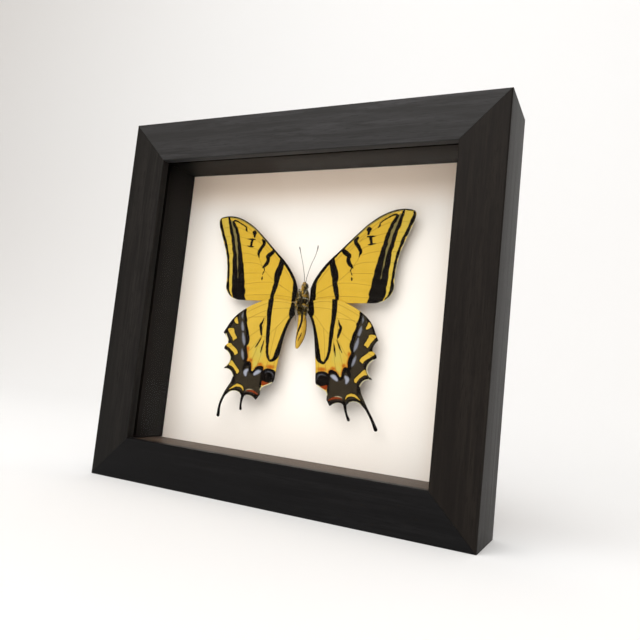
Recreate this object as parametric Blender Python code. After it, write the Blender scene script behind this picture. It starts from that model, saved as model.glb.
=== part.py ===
"""A framed butterfly specimen: a two-tailed swallowtail shown underside up in a black wooden box frame.

Units are metres, +Z is up and the front faces -Y. The origin is the centre of the frame's underside,
half way through its depth. Wing outlines are given in millimetres from the specimen's centre line.
"""

import math

import bmesh
import bpy
import numpy as np
from mathutils import Matrix, Vector

MM = 0.001

# Frame: four mitred rails with a front lip and a rabbet behind it.
FRAME_WIDTH = 0.200
FRAME_HEIGHT = 0.1885
FRAME_DEPTH = 0.0345
RAIL_FACE = 0.021
LIP_DEPTH = 0.0045
RABBET_WIDTH = 0.007
WALL = RAIL_FACE - RABBET_WIDTH
EDGE_RADIUS = 0.0007
MITRE_GAP = 0.0001

# Every loose piece keeps this clearance to its neighbours.
GAP = 0.0003

# What is stacked behind the lip, measured as depth from the front face.
FRONT = -FRAME_DEPTH / 2
GLASS_THICK = 0.002
GLASS_FRONT = LIP_DEPTH + GAP
SPACER_FRONT = GLASS_FRONT + GLASS_THICK + GAP
MOUNT_FRONT = 0.0288
MOUNT_THICK = 0.0015
SPACER_BACK = MOUNT_FRONT - GAP
SPACER_SETBACK = 0.0004
BACKING_FRONT = MOUNT_FRONT + MOUNT_THICK + GAP
BACKING_THICK = 0.0025
BACKING_BACK = BACKING_FRONT + BACKING_THICK

# Steel points pushed into the rabbet wall hold the backing in.
POINT_WIDTH = 0.008
POINT_LENGTH = 0.015
POINT_THICK = 0.0004
POINT_BITE = 0.005
POINT_SPREAD = 0.040

# Sawtooth hanger, nailed to the back of the top rail.
HANGER_LENGTH = 0.044
HANGER_HEIGHT = 0.008
HANGER_THICK = 0.0007
HANGER_RISE = 0.0014
HANGER_EAR = 0.007
HANGER_BEND = 0.0016
HANGER_TEETH = 11
TOOTH_DEPTH = 0.0016
NAIL_SHANK_RADIUS = 0.0006
NAIL_HEAD_RADIUS = 0.0016
NAIL_HEAD_THICK = 0.0006
NAIL_LENGTH = 0.009

# The specimen stands off the mount board on a small pad under its thorax.
SPECIMEN_X = 0.0015
SPECIMEN_Z = FRAME_HEIGHT / 2
WING_STANDOFF = 0.0055
WING_THICK = 0.0004
FOREWING_Y = FRONT + MOUNT_FRONT - WING_STANDOFF
HINDWING_Y = FOREWING_Y - WING_THICK - GAP
BODY_Y = FOREWING_Y - 0.0014
PAD_RADIUS = 0.0021

# Black wood, glass, board and the rest: colour, roughness, metallic.
FINISHES = {
    "black_wood": ((0.018, 0.018, 0.019), 0.5, 0.0),
    "spacer_wood": ((0.030, 0.022, 0.018), 0.6, 0.0),
    "glass": ((0.9, 0.95, 0.93), 0.03, 0.0),
    "mount_board": ((0.88, 0.86, 0.83), 0.85, 0.0),
    "hardboard": ((0.22, 0.13, 0.07), 0.8, 0.0),
    "steel": ((0.55, 0.55, 0.53), 0.35, 1.0),
    "brass": ((0.65, 0.48, 0.2), 0.35, 1.0),
    "cork": ((0.45, 0.30, 0.18), 0.9, 0.0),
    "wing": ((0.75, 0.52, 0.08), 0.6, 0.0),
    "body": ((0.30, 0.20, 0.05), 0.8, 0.0),
    "leg": ((0.10, 0.07, 0.03), 0.6, 0.0),
}


def finish(name):
    """The named Principled material, made once."""
    found = bpy.data.materials.get(name)
    if found:
        return found
    colour, roughness, metallic = FINISHES[name]
    made = bpy.data.materials.new(name)
    made.use_nodes = True
    shader = made.node_tree.nodes["Principled BSDF"]
    shader.inputs["Base Color"].default_value = (*colour, 1.0)
    shader.inputs["Roughness"].default_value = roughness
    shader.inputs["Metallic"].default_value = metallic
    if name == "glass":
        shader.inputs["Transmission Weight"].default_value = 1.0
    return made


def add_solid(name, points, faces, material, location=(0, 0, 0)):
    """A mesh object from points and faces, with its normals turned outwards."""
    mesh = bpy.data.meshes.new(name)
    mesh.from_pydata([tuple(p) for p in points], [], [tuple(f) for f in faces])
    build = bmesh.new()
    build.from_mesh(mesh)
    bmesh.ops.recalc_face_normals(build, faces=build.faces)
    build.to_mesh(mesh)
    build.free()
    mesh.materials.append(finish(material))
    made = bpy.data.objects.new(name, mesh)
    made.location = location
    bpy.context.scene.collection.objects.link(made)
    return made


def add_prism(name, near, far, material, location=(0, 0, 0)):
    """A solid between two matching rings of points: one face on each end and quads between."""
    count = len(near)
    faces = [list(range(count)), list(range(2 * count - 1, count - 1, -1))]
    for i in range(count):
        j = (i + 1) % count
        faces.append((i, j, count + j, count + i))
    return add_solid(name, list(near) + list(far), faces, material, location)


def add_block(name, low, high, material):
    """A rectangular block between two opposite corners."""
    (x0, y0, z0), (x1, y1, z1) = low, high
    near = [(x0, y0, z0), (x1, y0, z0), (x1, y0, z1), (x0, y0, z1)]
    far = [(x, y1, z) for x, _, z in near]
    return add_prism(name, near, far, material)


def cut(target, cutter):
    """Takes the cutter out of the target and leaves the cutter as a hidden helper."""
    cutter.hide_render = True
    cutter.display_type = "WIRE"
    cutting = target.modifiers.new("cut", "BOOLEAN")
    cutting.operation = "DIFFERENCE"
    cutting.object = cutter


def arc(centre, radius, start, end, steps):
    """Points on an arc, with angles in degrees."""
    return [
        (
            centre[0] + radius * math.cos(math.radians(start + (end - start) * i / steps)),
            centre[1] + radius * math.sin(math.radians(start + (end - start) * i / steps)),
        )
        for i in range(steps + 1)
    ]


def rail_profile():
    """The rail's section as (distance in from the outer edge, depth), with its three outer edges eased."""
    r = EDGE_RADIUS
    steps = 3
    return (
        arc((r, r), r, 180, 270, steps)
        + arc((RAIL_FACE - r, r), r, 270, 360, steps)
        + [(RAIL_FACE, LIP_DEPTH), (WALL, LIP_DEPTH), (WALL, FRAME_DEPTH)]
        + arc((r, FRAME_DEPTH - r), r, 90, 180, steps)
    )


def add_rail(name, horizontal, sign):
    """One rail: the section swept along its side of the frame and mitred at 45 degrees on both ends."""
    half_length = (FRAME_WIDTH if horizontal else FRAME_HEIGHT) / 2
    half_across = (FRAME_HEIGHT if horizontal else FRAME_WIDTH) / 2
    trim = MITRE_GAP / math.sqrt(2)
    centre = Vector((0, 0, FRAME_HEIGHT / 2))
    ends = []
    for end in (-1, 1):
        ring = []
        for inward, depth in rail_profile():
            along = end * (half_length - inward - trim)
            across = sign * (half_across - inward)
            place = (along, FRONT + depth, across) if horizontal else (across, FRONT + depth, along)
            ring.append(centre + Vector(place))
        ends.append(ring)
    return add_prism(name, ends[0], ends[1], "black_wood")


def make_rails():
    """The four rails, by name."""
    return {
        "rail_top": add_rail("rail_top", True, 1),
        "rail_bottom": add_rail("rail_bottom", True, -1),
        "rail_left": add_rail("rail_left", False, -1),
        "rail_right": add_rail("rail_right", False, 1),
    }


def rabbet_sheet(name, front, thickness, material):
    """A flat sheet that drops into the rabbet with clearance all round."""
    x = FRAME_WIDTH / 2 - WALL - GAP
    return add_block(
        name,
        (-x, FRONT + front, WALL + GAP),
        (x, FRONT + front + thickness, FRAME_HEIGHT - WALL - GAP),
        material,
    )


def make_spacers():
    """Four strips that hold the glass off the mount board: two full width, two between them."""
    outer_x = FRAME_WIDTH / 2 - WALL - GAP
    inner_x = FRAME_WIDTH / 2 - RAIL_FACE + SPACER_SETBACK
    low = WALL + GAP
    inner_low = RAIL_FACE - SPACER_SETBACK
    high = FRAME_HEIGHT - low
    inner_high = FRAME_HEIGHT - inner_low
    y0 = FRONT + SPACER_FRONT
    y1 = FRONT + SPACER_BACK
    add_block("spacer_bottom", (-outer_x, y0, low), (outer_x, y1, inner_low), "spacer_wood")
    add_block("spacer_top", (-outer_x, y0, inner_high), (outer_x, y1, high), "spacer_wood")
    for name, side in (("spacer_left", -1), ("spacer_right", 1)):
        x0, x1 = sorted((side * outer_x, side * inner_x))
        add_block(name, (x0, y0, inner_low + GAP), (x1, y1, inner_high - GAP), "spacer_wood")


def point_outline():
    """A glazing point seen flat: it bites at -bite and tapers to a blunt tongue at the other end."""
    half = POINT_WIDTH / 2
    reach = POINT_LENGTH - POINT_BITE
    tongue = half * 0.5
    return [
        (-POINT_BITE, -tongue),
        (0.0, -half),
        (reach * 0.45, -half),
        (reach, -tongue),
        (reach, tongue),
        (reach * 0.45, half),
        (0.0, half),
        (-POINT_BITE, tongue),
    ]


def make_points(rails):
    """Two steel points a side, each in its own slot in the rabbet wall, flat against the backing."""
    y = FRONT + BACKING_BACK + GAP
    inner_x = FRAME_WIDTH / 2 - WALL
    inner_z = FRAME_HEIGHT / 2 - WALL
    sides = {
        "bottom": ("rail_bottom", Vector((0, 0, WALL)), 90),
        "top": ("rail_top", Vector((0, 0, FRAME_HEIGHT / 2 + inner_z)), 270),
        "left": ("rail_left", Vector((-inner_x, 0, FRAME_HEIGHT / 2)), 0),
        "right": ("rail_right", Vector((inner_x, 0, FRAME_HEIGHT / 2)), 180),
    }
    slack = GAP / 2
    for side, (rail, middle, turn) in sides.items():
        along = Vector((1, 0, 0)) if side in ("bottom", "top") else Vector((0, 0, 1))
        into = Matrix.Rotation(-math.radians(turn), 3, "Y")
        for number, shift in enumerate((-POINT_SPREAD, POINT_SPREAD), 1):
            foot = middle + along * shift + Vector((0, y, 0))
            near = [foot + into @ Vector((a, 0, b)) for a, b in point_outline()]
            far = [p + Vector((0, POINT_THICK, 0)) for p in near]
            add_prism(f"point_{side}_{number}", near, far, "steel")
            deep = -POINT_BITE - GAP
            wide = POINT_WIDTH / 2 + GAP
            slot = [(deep, -wide), (GAP, -wide), (GAP, wide), (deep, wide)]
            mouth = [foot + into @ Vector((a, -slack, b)) for a, b in slot]
            floor = [p + Vector((0, POINT_THICK + 2 * slack, 0)) for p in mouth]
            cutter = add_prism(f"slot_{side}_{number}", mouth, floor, "steel")
            cut(rails[rail], cutter)


def rod(name, radius, start, length, material, sides=12):
    """A cylinder along +Y from its start point."""
    turns = [2 * math.pi * i / sides for i in range(sides)]
    near = [(start[0] + radius * math.cos(a), start[1], start[2] + radius * math.sin(a)) for a in turns]
    far = [(x, start[1] + length, z) for x, _, z in near]
    return add_prism(name, near, far, material)


def make_hanger(rails):
    """A pressed strip with flat ears, a raised middle and teeth along its lower edge, and its two nails."""
    back = FRAME_DEPTH / 2 + GAP
    middle_z = FRAME_HEIGHT - WALL / 2
    top = middle_z + HANGER_HEIGHT / 2
    low = middle_z - HANGER_HEIGHT / 2
    half = HANGER_LENGTH / 2
    flat_half = half - HANGER_EAR - HANGER_BEND
    pitch = 2 * flat_half / HANGER_TEETH
    stations = [(-half, 0.0, low), (-half + HANGER_EAR, 0.0, low)]
    for i in range(2 * HANGER_TEETH + 1):
        lift = TOOTH_DEPTH if i % 2 else 0.0
        stations.append((-flat_half + i * pitch / 2, HANGER_RISE, low + lift))
    stations += [(half - HANGER_EAR, 0.0, low), (half, 0.0, low)]
    points = []
    for x, rise, bottom in stations:
        near = back + rise
        far = near + HANGER_THICK
        points += [(x, near, bottom), (x, far, bottom), (x, far, top), (x, near, top)]
    faces = [(3, 2, 1, 0), tuple(len(points) - 4 + k for k in range(4))]
    for i in range(len(stations) - 1):
        for k in range(4):
            m = (k + 1) % 4
            faces.append((4 * i + k, 4 * i + m, 4 * i + 4 + m, 4 * i + 4 + k))
    hanger = add_solid("hanger", points, faces, "brass")
    for name, side in (("nail_left", -1), ("nail_right", 1)):
        x = side * (half - HANGER_EAR / 2)
        add_nail(name, x, back, middle_z, hanger, rails["rail_top"])


def add_nail(name, x, back, z, hanger, rail):
    """A round-headed nail through the hanger's ear into the rail, each with a clearance hole."""
    head = back + HANGER_THICK + GAP
    sides = 12
    rings = (
        (NAIL_SHANK_RADIUS * 0.3, head - NAIL_LENGTH),
        (NAIL_SHANK_RADIUS, head - NAIL_LENGTH + 0.0015),
        (NAIL_SHANK_RADIUS, head),
        (NAIL_HEAD_RADIUS, head),
        (NAIL_HEAD_RADIUS * 0.75, head + NAIL_HEAD_THICK),
    )
    points = [
        (x + r * math.cos(2 * math.pi * i / sides), y, z + r * math.sin(2 * math.pi * i / sides))
        for r, y in rings
        for i in range(sides)
    ]
    faces = ring_faces(len(rings), sides)
    add_solid(name, points, faces, "steel")
    hole = NAIL_SHANK_RADIUS + GAP
    cut(hanger, rod(name + "_ear_hole", hole, (x, back - 0.001, z), HANGER_THICK + 0.002, "steel"))
    cut(rail, rod(name + "_bore", hole, (x, head - NAIL_LENGTH - GAP, z), NAIL_LENGTH + 0.002, "steel"))


def ring_faces(rings, sides):
    """Faces of a tube of stacked rings, with a face closing each end."""
    faces = [tuple(range(sides)), tuple(range(rings * sides - 1, (rings - 1) * sides - 1, -1))]
    for i in range(rings - 1):
        for k in range(sides):
            m = (k + 1) % sides
            faces.append((i * sides + k, i * sides + m, (i + 1) * sides + m, (i + 1) * sides + k))
    return faces


def smooth_through(points, steps):
    """A Catmull-Rom curve through the points, with this many steps between each two."""
    p = np.array(points, float)
    p = np.vstack([2 * p[0] - p[1], p, 2 * p[-1] - p[-2]])
    t = np.linspace(0, 1, steps, endpoint=False)[:, None]
    stretches = []
    for a, b, c, d in zip(p[:-3], p[1:-2], p[2:-1], p[3:]):
        stretches.append(
            0.5 * (2 * b + (c - a) * t + (2 * a - 5 * b + 4 * c - d) * t**2 + (3 * b - a - 3 * c + d) * t**3)
        )
    return np.vstack(stretches + [p[-2:-1]])


def scallop(start, end, depth, steps=6):
    """An arc-like hollow between two teeth, sinking to the right of the way from start to end."""
    start, end = np.array(start, float), np.array(end, float)
    t = np.linspace(0, 1, steps + 1)[1:-1, None]
    way = end - start
    side = np.array([way[1], -way[0]]) / np.linalg.norm(way)
    return start + way * t + side * depth * 4 * t * (1 - t)


def tail(line, widths, steps=3):
    """The outline of a tail: down one side of its middle line, round the tip and back up the other."""
    middle = smooth_through([(*p, w) for p, w in zip(line, widths)], steps)
    way = np.gradient(middle[:, :2], axis=0)
    side = np.stack([-way[:, 1], way[:, 0]], 1) / np.linalg.norm(way, axis=1)[:, None]
    half = middle[:, 2:] / 2
    tip = middle[-1, :2] + way[-1] / np.linalg.norm(way[-1]) * half[-1] * 0.8
    return np.vstack([middle[:, :2] + side * half, tip[None], (middle[:, :2] - side * half)[::-1]])


def forewing_outline():
    """Up the leading edge, round the tip, down the slightly hollow outer edge and back along the trailing edge."""
    leading = [(3.5, 10.6), (5.5, 15.7), (10.5, 23.0), (18.5, 31.0), (28.5, 40.8), (38.5, 48.0), (48.5, 50.3)]
    tip = [(53.0, 49.6), (54.3, 47.5)]
    outer = [(52.4, 40.6), (49.0, 32.0), (47.1, 23.5), (46.8, 16.5), (46.6, 11.2), (44.4, 7.8), (40.2, 5.2)]
    trailing = [(34.3, 4.7), (20.0, 4.2), (8.5, 4.0), (3.5, 3.8)]
    return smooth_through(leading + tip + outer + trailing, 3)


# The last points of the long tail's inner side lie inside the wing and are left off.
TAIL_ROOT = 4


def hindwing_outline(tail_swing):
    """Out along the leading edge, round the teeth and the two tails, and up the inner edge.

    tail_swing bends the long tail's tip towards the body and down, in millimetres.
    """
    leading = [(3.5, 3.6), (8.0, 5.2), (15.5, 5.8), (23.5, 4.3), (29.5, 1.6), (34.5, -1.6), (38.3, -5.4)]
    first = [(40.2, -9.6), (41.9, -12.7)]
    second = (41.9, -21.0)
    third = (40.9, -31.2)
    notch_one = [(40.0, -15.3), (38.9, -17.6), (40.5, -18.2)]
    long_line = [(35.0, -38.6), (38.4, -43.4), (42.3 - tail_swing * 0.4, -49.0 - tail_swing * 0.2)]
    long_line.append((44.9 - tail_swing, -53.6 - tail_swing * 0.6))
    short_line = [(28.3, -44.2), (28.9, -46.3), (29.8 - tail_swing * 0.3, -48.7), (31.0 - tail_swing * 0.6, -51.0)]
    between_tails = [(37.3, -43.9), (35.2, -42.5), (32.7, -42.1), (30.2, -42.9), (29.4, -44.0)]
    anal_tooth = (20.6, -45.6)
    lobe = [(18.6, -42.8), (18.5, -39.8), (16.4, -38.4), (13.0, -36.6), (11.7, -34.8)]
    inner = [(11.0, -28.8), (9.6, -20.0), (7.9, -10.8), (5.6, -4.6), (3.5, -1.6)]
    pieces = [
        smooth_through(leading + first, 3),
        notch_one,
        [second],
        scallop(second, third, 3.6, 7),
        [third],
        scallop(third, (34.6, -36.6), 1.9, 5),
        tail(long_line, (2.4, 1.3, 1.2, 1.9))[:-TAIL_ROOT],
        smooth_through(between_tails, 2),
        tail(short_line, (1.7, 1.4, 1.1, 1.5)),
        scallop((27.3, -43.6), anal_tooth, 0.8, 5),
        [anal_tooth],
        smooth_through(lobe + inner, 3),
    ]
    return np.vstack([np.array(piece, float).reshape(-1, 2) for piece in pieces])


def add_wing(name, outline, side, y, turn=0, lean=0, drop=0):
    """A flat wing: its outline turned and leant about the wing root, mirrored to its side and thickened.

    turn is in the wing's own plane, lean brings its outer edge forward, both in degrees; drop is in mm.
    """
    root = np.array([3.5, 6.0])
    angle = math.radians(turn)
    forward = math.radians(lean)
    spin = np.array([[math.cos(angle), -math.sin(angle)], [math.sin(angle), math.cos(angle)]])
    rings = ([], [])
    for u, v in (outline - root) @ spin.T:
        for ring, raised in zip(rings, (WING_THICK, 0.0)):
            out = root[0] + u * math.cos(forward) - raised / MM * math.sin(forward)
            ahead = u * MM * math.sin(forward) + raised * math.cos(forward)
            ring.append((SPECIMEN_X + side * out * MM, y - ahead, SPECIMEN_Z + (v + root[1] - drop) * MM))
    return add_prism(name, rings[0], rings[1], "wing")


def make_wings():
    """Forewings next to the board, hindwings over them; the left pair is set lower and leans forward."""
    add_wing("forewing_right", forewing_outline(), 1, FOREWING_Y)
    add_wing("forewing_left", forewing_outline(), -1, FOREWING_Y, turn=-2.4)
    add_wing("hindwing_right", hindwing_outline(0), 1, HINDWING_Y)
    add_wing("hindwing_left", hindwing_outline(2.6), -1, HINDWING_Y, turn=-0.9, lean=3.4, drop=1.1)


# Body stations from the head down: height, shift to the right, half width, half depth, shift forward.
BODY_STATIONS = (
    (13.3, 1.0, 0.5, 0.5, 0.4),
    (12.6, 1.0, 1.3, 1.3, 0.4),
    (11.3, 0.9, 1.7, 1.6, 0.4),
    (10.1, 0.7, 1.3, 1.3, 0.2),
    (8.8, 0.5, 2.2, 2.4, 0.3),
    (6.4, 0.4, 2.8, 3.2, 0.4),
    (3.0, 0.4, 2.9, 3.3, 0.4),
    (0.2, 0.6, 2.6, 2.8, 0.3),
    (-2.4, 0.8, 1.9, 1.9, 0.0),
    (-5.0, 1.1, 2.2, 2.2, -0.2),
    (-8.5, 1.3, 2.4, 2.4, -0.3),
    (-12.0, 1.1, 2.4, 2.3, -0.4),
    (-15.5, 0.5, 2.0, 1.8, -0.5),
    (-18.4, -0.2, 1.1, 1.0, -0.5),
    (-19.6, -0.5, 0.4, 0.4, -0.5),
)


def make_body():
    """Head, thorax and abdomen grew as one piece: elliptical rings down its length."""
    sides = 16
    points = []
    for height, shift, half_width, half_depth, forward in BODY_STATIONS:
        for i in range(sides):
            a = 2 * math.pi * i / sides
            x = SPECIMEN_X + (shift + half_width * math.cos(a)) * MM
            y = BODY_Y - (forward + half_depth * math.sin(a)) * MM
            points.append((x, y, SPECIMEN_Z + height * MM))
    body = add_solid("body", points, ring_faces(len(BODY_STATIONS), sides), "body")
    body.data.shade_smooth()


def make_pad():
    """A cork pad glued between the mount board and the back of the thorax."""
    thorax_back = BODY_Y + (3.3 - 0.4) * MM
    start = thorax_back + GAP
    end = FRONT + MOUNT_FRONT - GAP
    rod("pad", PAD_RADIUS, (SPECIMEN_X + 0.4 * MM, start, SPECIMEN_Z + 3.5 * MM), end - start, "cork", 20)


def add_tube(name, line, radii, material, steps=3):
    """A round tube on a smooth curve through the line's points, with a radius at each, all in metres."""
    curve = bpy.data.curves.new(name, "CURVE")
    curve.dimensions = "3D"
    curve.bevel_depth = 1.0
    curve.bevel_resolution = 1
    curve.use_fill_caps = True
    route = smooth_through([(*p, r) for p, r in zip(line, radii)], steps)
    spline = curve.splines.new("POLY")
    spline.points.add(len(route) - 1)
    for point, (x, y, z, radius) in zip(spline.points, route):
        point.co = (x, y, z, 1.0)
        point.radius = radius
    curve.materials.append(finish(material))
    made = bpy.data.objects.new(name, curve)
    bpy.context.scene.collection.objects.link(made)
    return made


def make_antennae():
    """Two thin stalks from the head, each ending in a small club."""
    radii = [0.12 * MM, 0.11 * MM, 0.11 * MM, 0.13 * MM, 0.28 * MM, 0.16 * MM]
    routes = {
        "antenna_left": [(0.7, 13.9), (0.1, 17.5), (-1.3, 22.5), (-3.0, 27.5), (-4.1, 30.6), (-4.3, 31.6)],
        "antenna_right": [(1.5, 13.9), (2.1, 17.5), (3.4, 22.5), (5.1, 27.0), (5.9, 31.0), (5.8, 32.3)],
    }
    for name, route in routes.items():
        line = [
            (SPECIMEN_X + u * MM, BODY_Y - (1.2 - 0.03 * (v - 13)) * MM, SPECIMEN_Z + v * MM)
            for u, v in route
        ]
        add_tube(name, line, radii, "leg", steps=2)


# Each pair of legs: where the hip, knee, ankle and foot lie, as (out from the middle, up, forward).
LEG_ROUTES = {
    "fore": ((0.5, 8.2, 3.1), (2.3, 9.4, 3.2), (1.1, 5.9, 4.4), (0.7, 3.4, 4.6)),
    "mid": ((0.6, 5.2, 4.2), (3.4, 4.6, 3.1), (2.5, 1.0, 3.7), (1.7, -1.9, 3.9)),
    "hind": ((0.6, 1.6, 4.1), (3.5, 0.2, 2.6), (2.9, -3.6, 3.0), (2.4, -6.2, 3.3)),
}


def make_legs():
    """Three pairs of thin legs folded over the thorax."""
    radii = [0.26 * MM, 0.2 * MM, 0.14 * MM, 0.1 * MM]
    middle = 1.5
    for pair, route in LEG_ROUTES.items():
        for side_name, side in (("left", -1), ("right", 1)):
            line = [
                (SPECIMEN_X + (middle + side * out) * MM, BODY_Y - forward * MM, SPECIMEN_Z + up * MM)
                for out, up, forward in route
            ]
            add_tube(f"leg_{pair}_{side_name}", line, radii, "leg")


def main():
    for old in list(bpy.data.objects):
        bpy.data.objects.remove(old)
    rails = make_rails()
    rabbet_sheet("glass", GLASS_FRONT, GLASS_THICK, "glass")
    make_spacers()
    rabbet_sheet("mount_board", MOUNT_FRONT, MOUNT_THICK, "mount_board")
    rabbet_sheet("backing", BACKING_FRONT, BACKING_THICK, "hardboard")
    make_points(rails)
    make_hanger(rails)
    make_wings()
    make_body()
    make_pad()
    make_antennae()
    make_legs()


main()
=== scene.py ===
"""A framed butterfly specimen: a two-tailed swallowtail, underside up, in a black-stained box frame.

Everything is in metres in the frame's own space: +X to the right, +Z up, the glazed front facing -Y.
The wings are drawn flat in millimetres from the specimen's centre line, then laid in their places.
"""

import bmesh
import bpy
import numpy as np
from mathutils import Matrix, Vector


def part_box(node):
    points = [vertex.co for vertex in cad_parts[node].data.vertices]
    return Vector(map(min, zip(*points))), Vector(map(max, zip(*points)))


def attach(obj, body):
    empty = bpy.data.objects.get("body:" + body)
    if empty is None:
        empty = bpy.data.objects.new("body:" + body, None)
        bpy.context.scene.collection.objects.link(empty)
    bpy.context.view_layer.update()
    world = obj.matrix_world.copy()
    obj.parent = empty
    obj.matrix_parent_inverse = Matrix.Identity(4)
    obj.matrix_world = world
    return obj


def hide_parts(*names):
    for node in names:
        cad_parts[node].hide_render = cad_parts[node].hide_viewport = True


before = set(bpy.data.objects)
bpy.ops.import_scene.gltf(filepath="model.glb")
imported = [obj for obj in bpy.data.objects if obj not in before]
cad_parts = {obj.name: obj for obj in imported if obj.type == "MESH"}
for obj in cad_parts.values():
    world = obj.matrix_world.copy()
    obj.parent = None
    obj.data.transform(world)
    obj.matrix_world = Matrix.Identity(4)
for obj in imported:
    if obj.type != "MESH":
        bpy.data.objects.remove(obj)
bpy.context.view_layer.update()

MM = 0.001


# ---------------------------------------------------------------------------------------------------
# Rails: four lengths of open-pored wood with a front lip and a rabbet, mitred and glued at the corners.
# Stained black through, then waxed: the stain sinks into the pores and the raised grain stays greyer.
# ---------------------------------------------------------------------------------------------------

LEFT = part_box("rail_left")[0].x
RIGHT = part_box("rail_right")[1].x
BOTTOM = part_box("rail_bottom")[0].z
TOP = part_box("rail_top")[1].z
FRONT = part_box("rail_top")[0].y
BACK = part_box("rail_top")[1].y
RAIL_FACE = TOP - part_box("rail_top")[0].z
CLEARANCE = 0.3 * MM
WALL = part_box("glass")[0].x - LEFT - CLEARANCE
LIP_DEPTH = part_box("glass")[0].y - FRONT - CLEARANCE
MITRE_GAP = 0.12 * MM
OUTER_EASE = 0.8 * MM
LIP_EASE = 0.5 * MM


def colour(code):
    """An sRGB hex colour as a linear RGBA colour."""
    srgb = np.array([int(code[i : i + 2], 16) for i in (1, 3, 5)]) / 255
    linear = np.where(srgb <= 0.04045, srgb / 12.92, ((srgb + 0.055) / 1.055) ** 2.4)
    return (*linear.tolist(), 1.0)


def add(tree, kind, inputs=None, output=0, **settings):
    """Adds one shader node, fills its inputs with values or links, and returns one of its outputs."""
    made = tree.nodes.new("ShaderNode" + kind)
    for key, value in settings.items():
        setattr(made, key, value)
    for key, value in (inputs or {}).items():
        if isinstance(value, bpy.types.NodeSocket):
            tree.links.new(value, made.inputs[key])
        else:
            made.inputs[key].default_value = value
    return made.outputs[output]


def new_material(name, **values):
    """A named Principled material and its shader, with each value set on the shader's own socket."""
    made = bpy.data.materials.new(name)
    made.use_nodes = True
    shader = made.node_tree.nodes["Principled BSDF"]
    for key, value in values.items():
        shader.inputs[key.replace("_", " ")].default_value = value
    return made, made.node_tree, shader


def add_mesh(name, points, faces, material, sharp=40.0):
    """A mesh object from arrays of points and faces, smooth except where faces meet sharply."""
    mesh = bpy.data.meshes.new(name)
    mesh.from_pydata(np.asarray(points).tolist(), [], [list(f) for f in faces])
    mesh.materials.append(material)
    mesh.shade_smooth()
    mesh.set_sharp_from_angle(angle=np.radians(sharp))
    made = bpy.data.objects.new(name, mesh)
    bpy.context.scene.collection.objects.link(made)
    return made


def tube_faces(rings, sides):
    """Quads between rings of points, wound to face outwards, with one face on each end."""
    i, k = np.meshgrid(np.arange(rings - 1), np.arange(sides), indexing="ij")
    m = (k + 1) % sides
    quads = np.stack([i * sides + k, i * sides + m, (i + 1) * sides + m, (i + 1) * sides + k], -1)
    faces = quads.reshape(-1, 4).tolist()
    return faces + [list(range(sides))[::-1], list(range((rings - 1) * sides, rings * sides))]


def face_outwards(thing, sharp):
    """Merges doubles, drops faces with no area, turns every face of a closed mesh outwards and shades it."""
    build = bmesh.new()
    build.from_mesh(thing.data)
    bmesh.ops.remove_doubles(build, verts=build.verts, dist=0.001 * MM)
    bmesh.ops.dissolve_degenerate(build, edges=build.edges, dist=0.001 * MM)
    bmesh.ops.recalc_face_normals(build, faces=build.faces)
    build.to_mesh(thing.data)
    build.free()
    thing.data.shade_smooth()
    thing.data.set_sharp_from_angle(angle=np.radians(sharp))


def stained_wood(name, along, ground, raised, depth):
    """Open-pored wood: streaky figure drawn out along one axis, fine pores sunk in, both under one stain."""
    made, tree, shader = new_material(name, Specular_IOR_Level=0.08)
    place = add(tree, "TexCoord", output="Object")
    figure_size = [1 / (2.2 * MM)] * 3
    figure_size[along] = 1 / (45 * MM)
    pore_size = [1 / (0.28 * MM)] * 3
    pore_size[along] = 1 / (5.5 * MM)
    figure_place = add(tree, "Mapping", {"Vector": place, "Scale": figure_size})
    pore_place = add(tree, "Mapping", {"Vector": place, "Scale": pore_size})
    patch_place = add(tree, "Mapping", {"Vector": place, "Scale": [s * 0.12 for s in figure_size]})
    patches = add(tree, "TexNoise", {"Vector": patch_place, "Scale": 1.0, "Detail": 3.0})
    figure = add(
        tree, "TexNoise",
        {"Vector": figure_place, "Scale": 1.0, "Detail": 6.0, "Roughness": 0.62, "Distortion": 0.5},
    )
    pores = add(tree, "TexNoise", {"Vector": pore_place, "Scale": 1.0, "Detail": 2.0})
    pore_mask = add(
        tree, "MapRange",
        {"Value": pores, "From Min": 0.52, "From Max": 0.70},
        interpolation_type="SMOOTHSTEP",
    )
    figure_mask = add(
        tree, "MapRange",
        {"Value": figure, "From Min": 0.3, "From Max": 0.72},
        interpolation_type="SMOOTHSTEP",
    )
    patch_mask = add(tree, "MapRange", {"Value": patches, "From Min": 0.35, "From Max": 0.65})
    shade = add(tree, "Math", {0: figure_mask, 1: patch_mask}, operation="MULTIPLY")
    stain = add(tree, "Mix", {0: shade, 6: colour(ground), 7: colour(raised)}, output=2, data_type="RGBA")
    pore_colour = add(tree, "Mix", {0: pore_mask, 6: stain, 7: colour(ground)}, output=2, data_type="RGBA")
    tree.links.new(pore_colour, shader.inputs["Base Color"])
    rough = add(tree, "MapRange", {"Value": shade, "To Min": 0.42, "To Max": 0.6})
    tree.links.new(rough, shader.inputs["Roughness"])
    sunk = add(tree, "Math", {0: pore_mask, 1: -0.6}, operation="MULTIPLY")
    surface = add(tree, "Math", {0: figure, 1: sunk}, operation="ADD")
    bump = add(tree, "Bump", {"Height": surface, "Strength": 0.6, "Distance": depth})
    tree.links.new(bump, shader.inputs["Normal"])
    return made


def arc(centre, radius, start, end, steps=6):
    """Points on an arc: centre plus radius times the cosine and sine of evenly spaced angles."""
    turn = np.radians(np.linspace(start, end, steps + 1))
    return np.stack([centre[0] + radius * np.cos(turn), centre[1] + radius * np.sin(turn)], 1)


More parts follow.
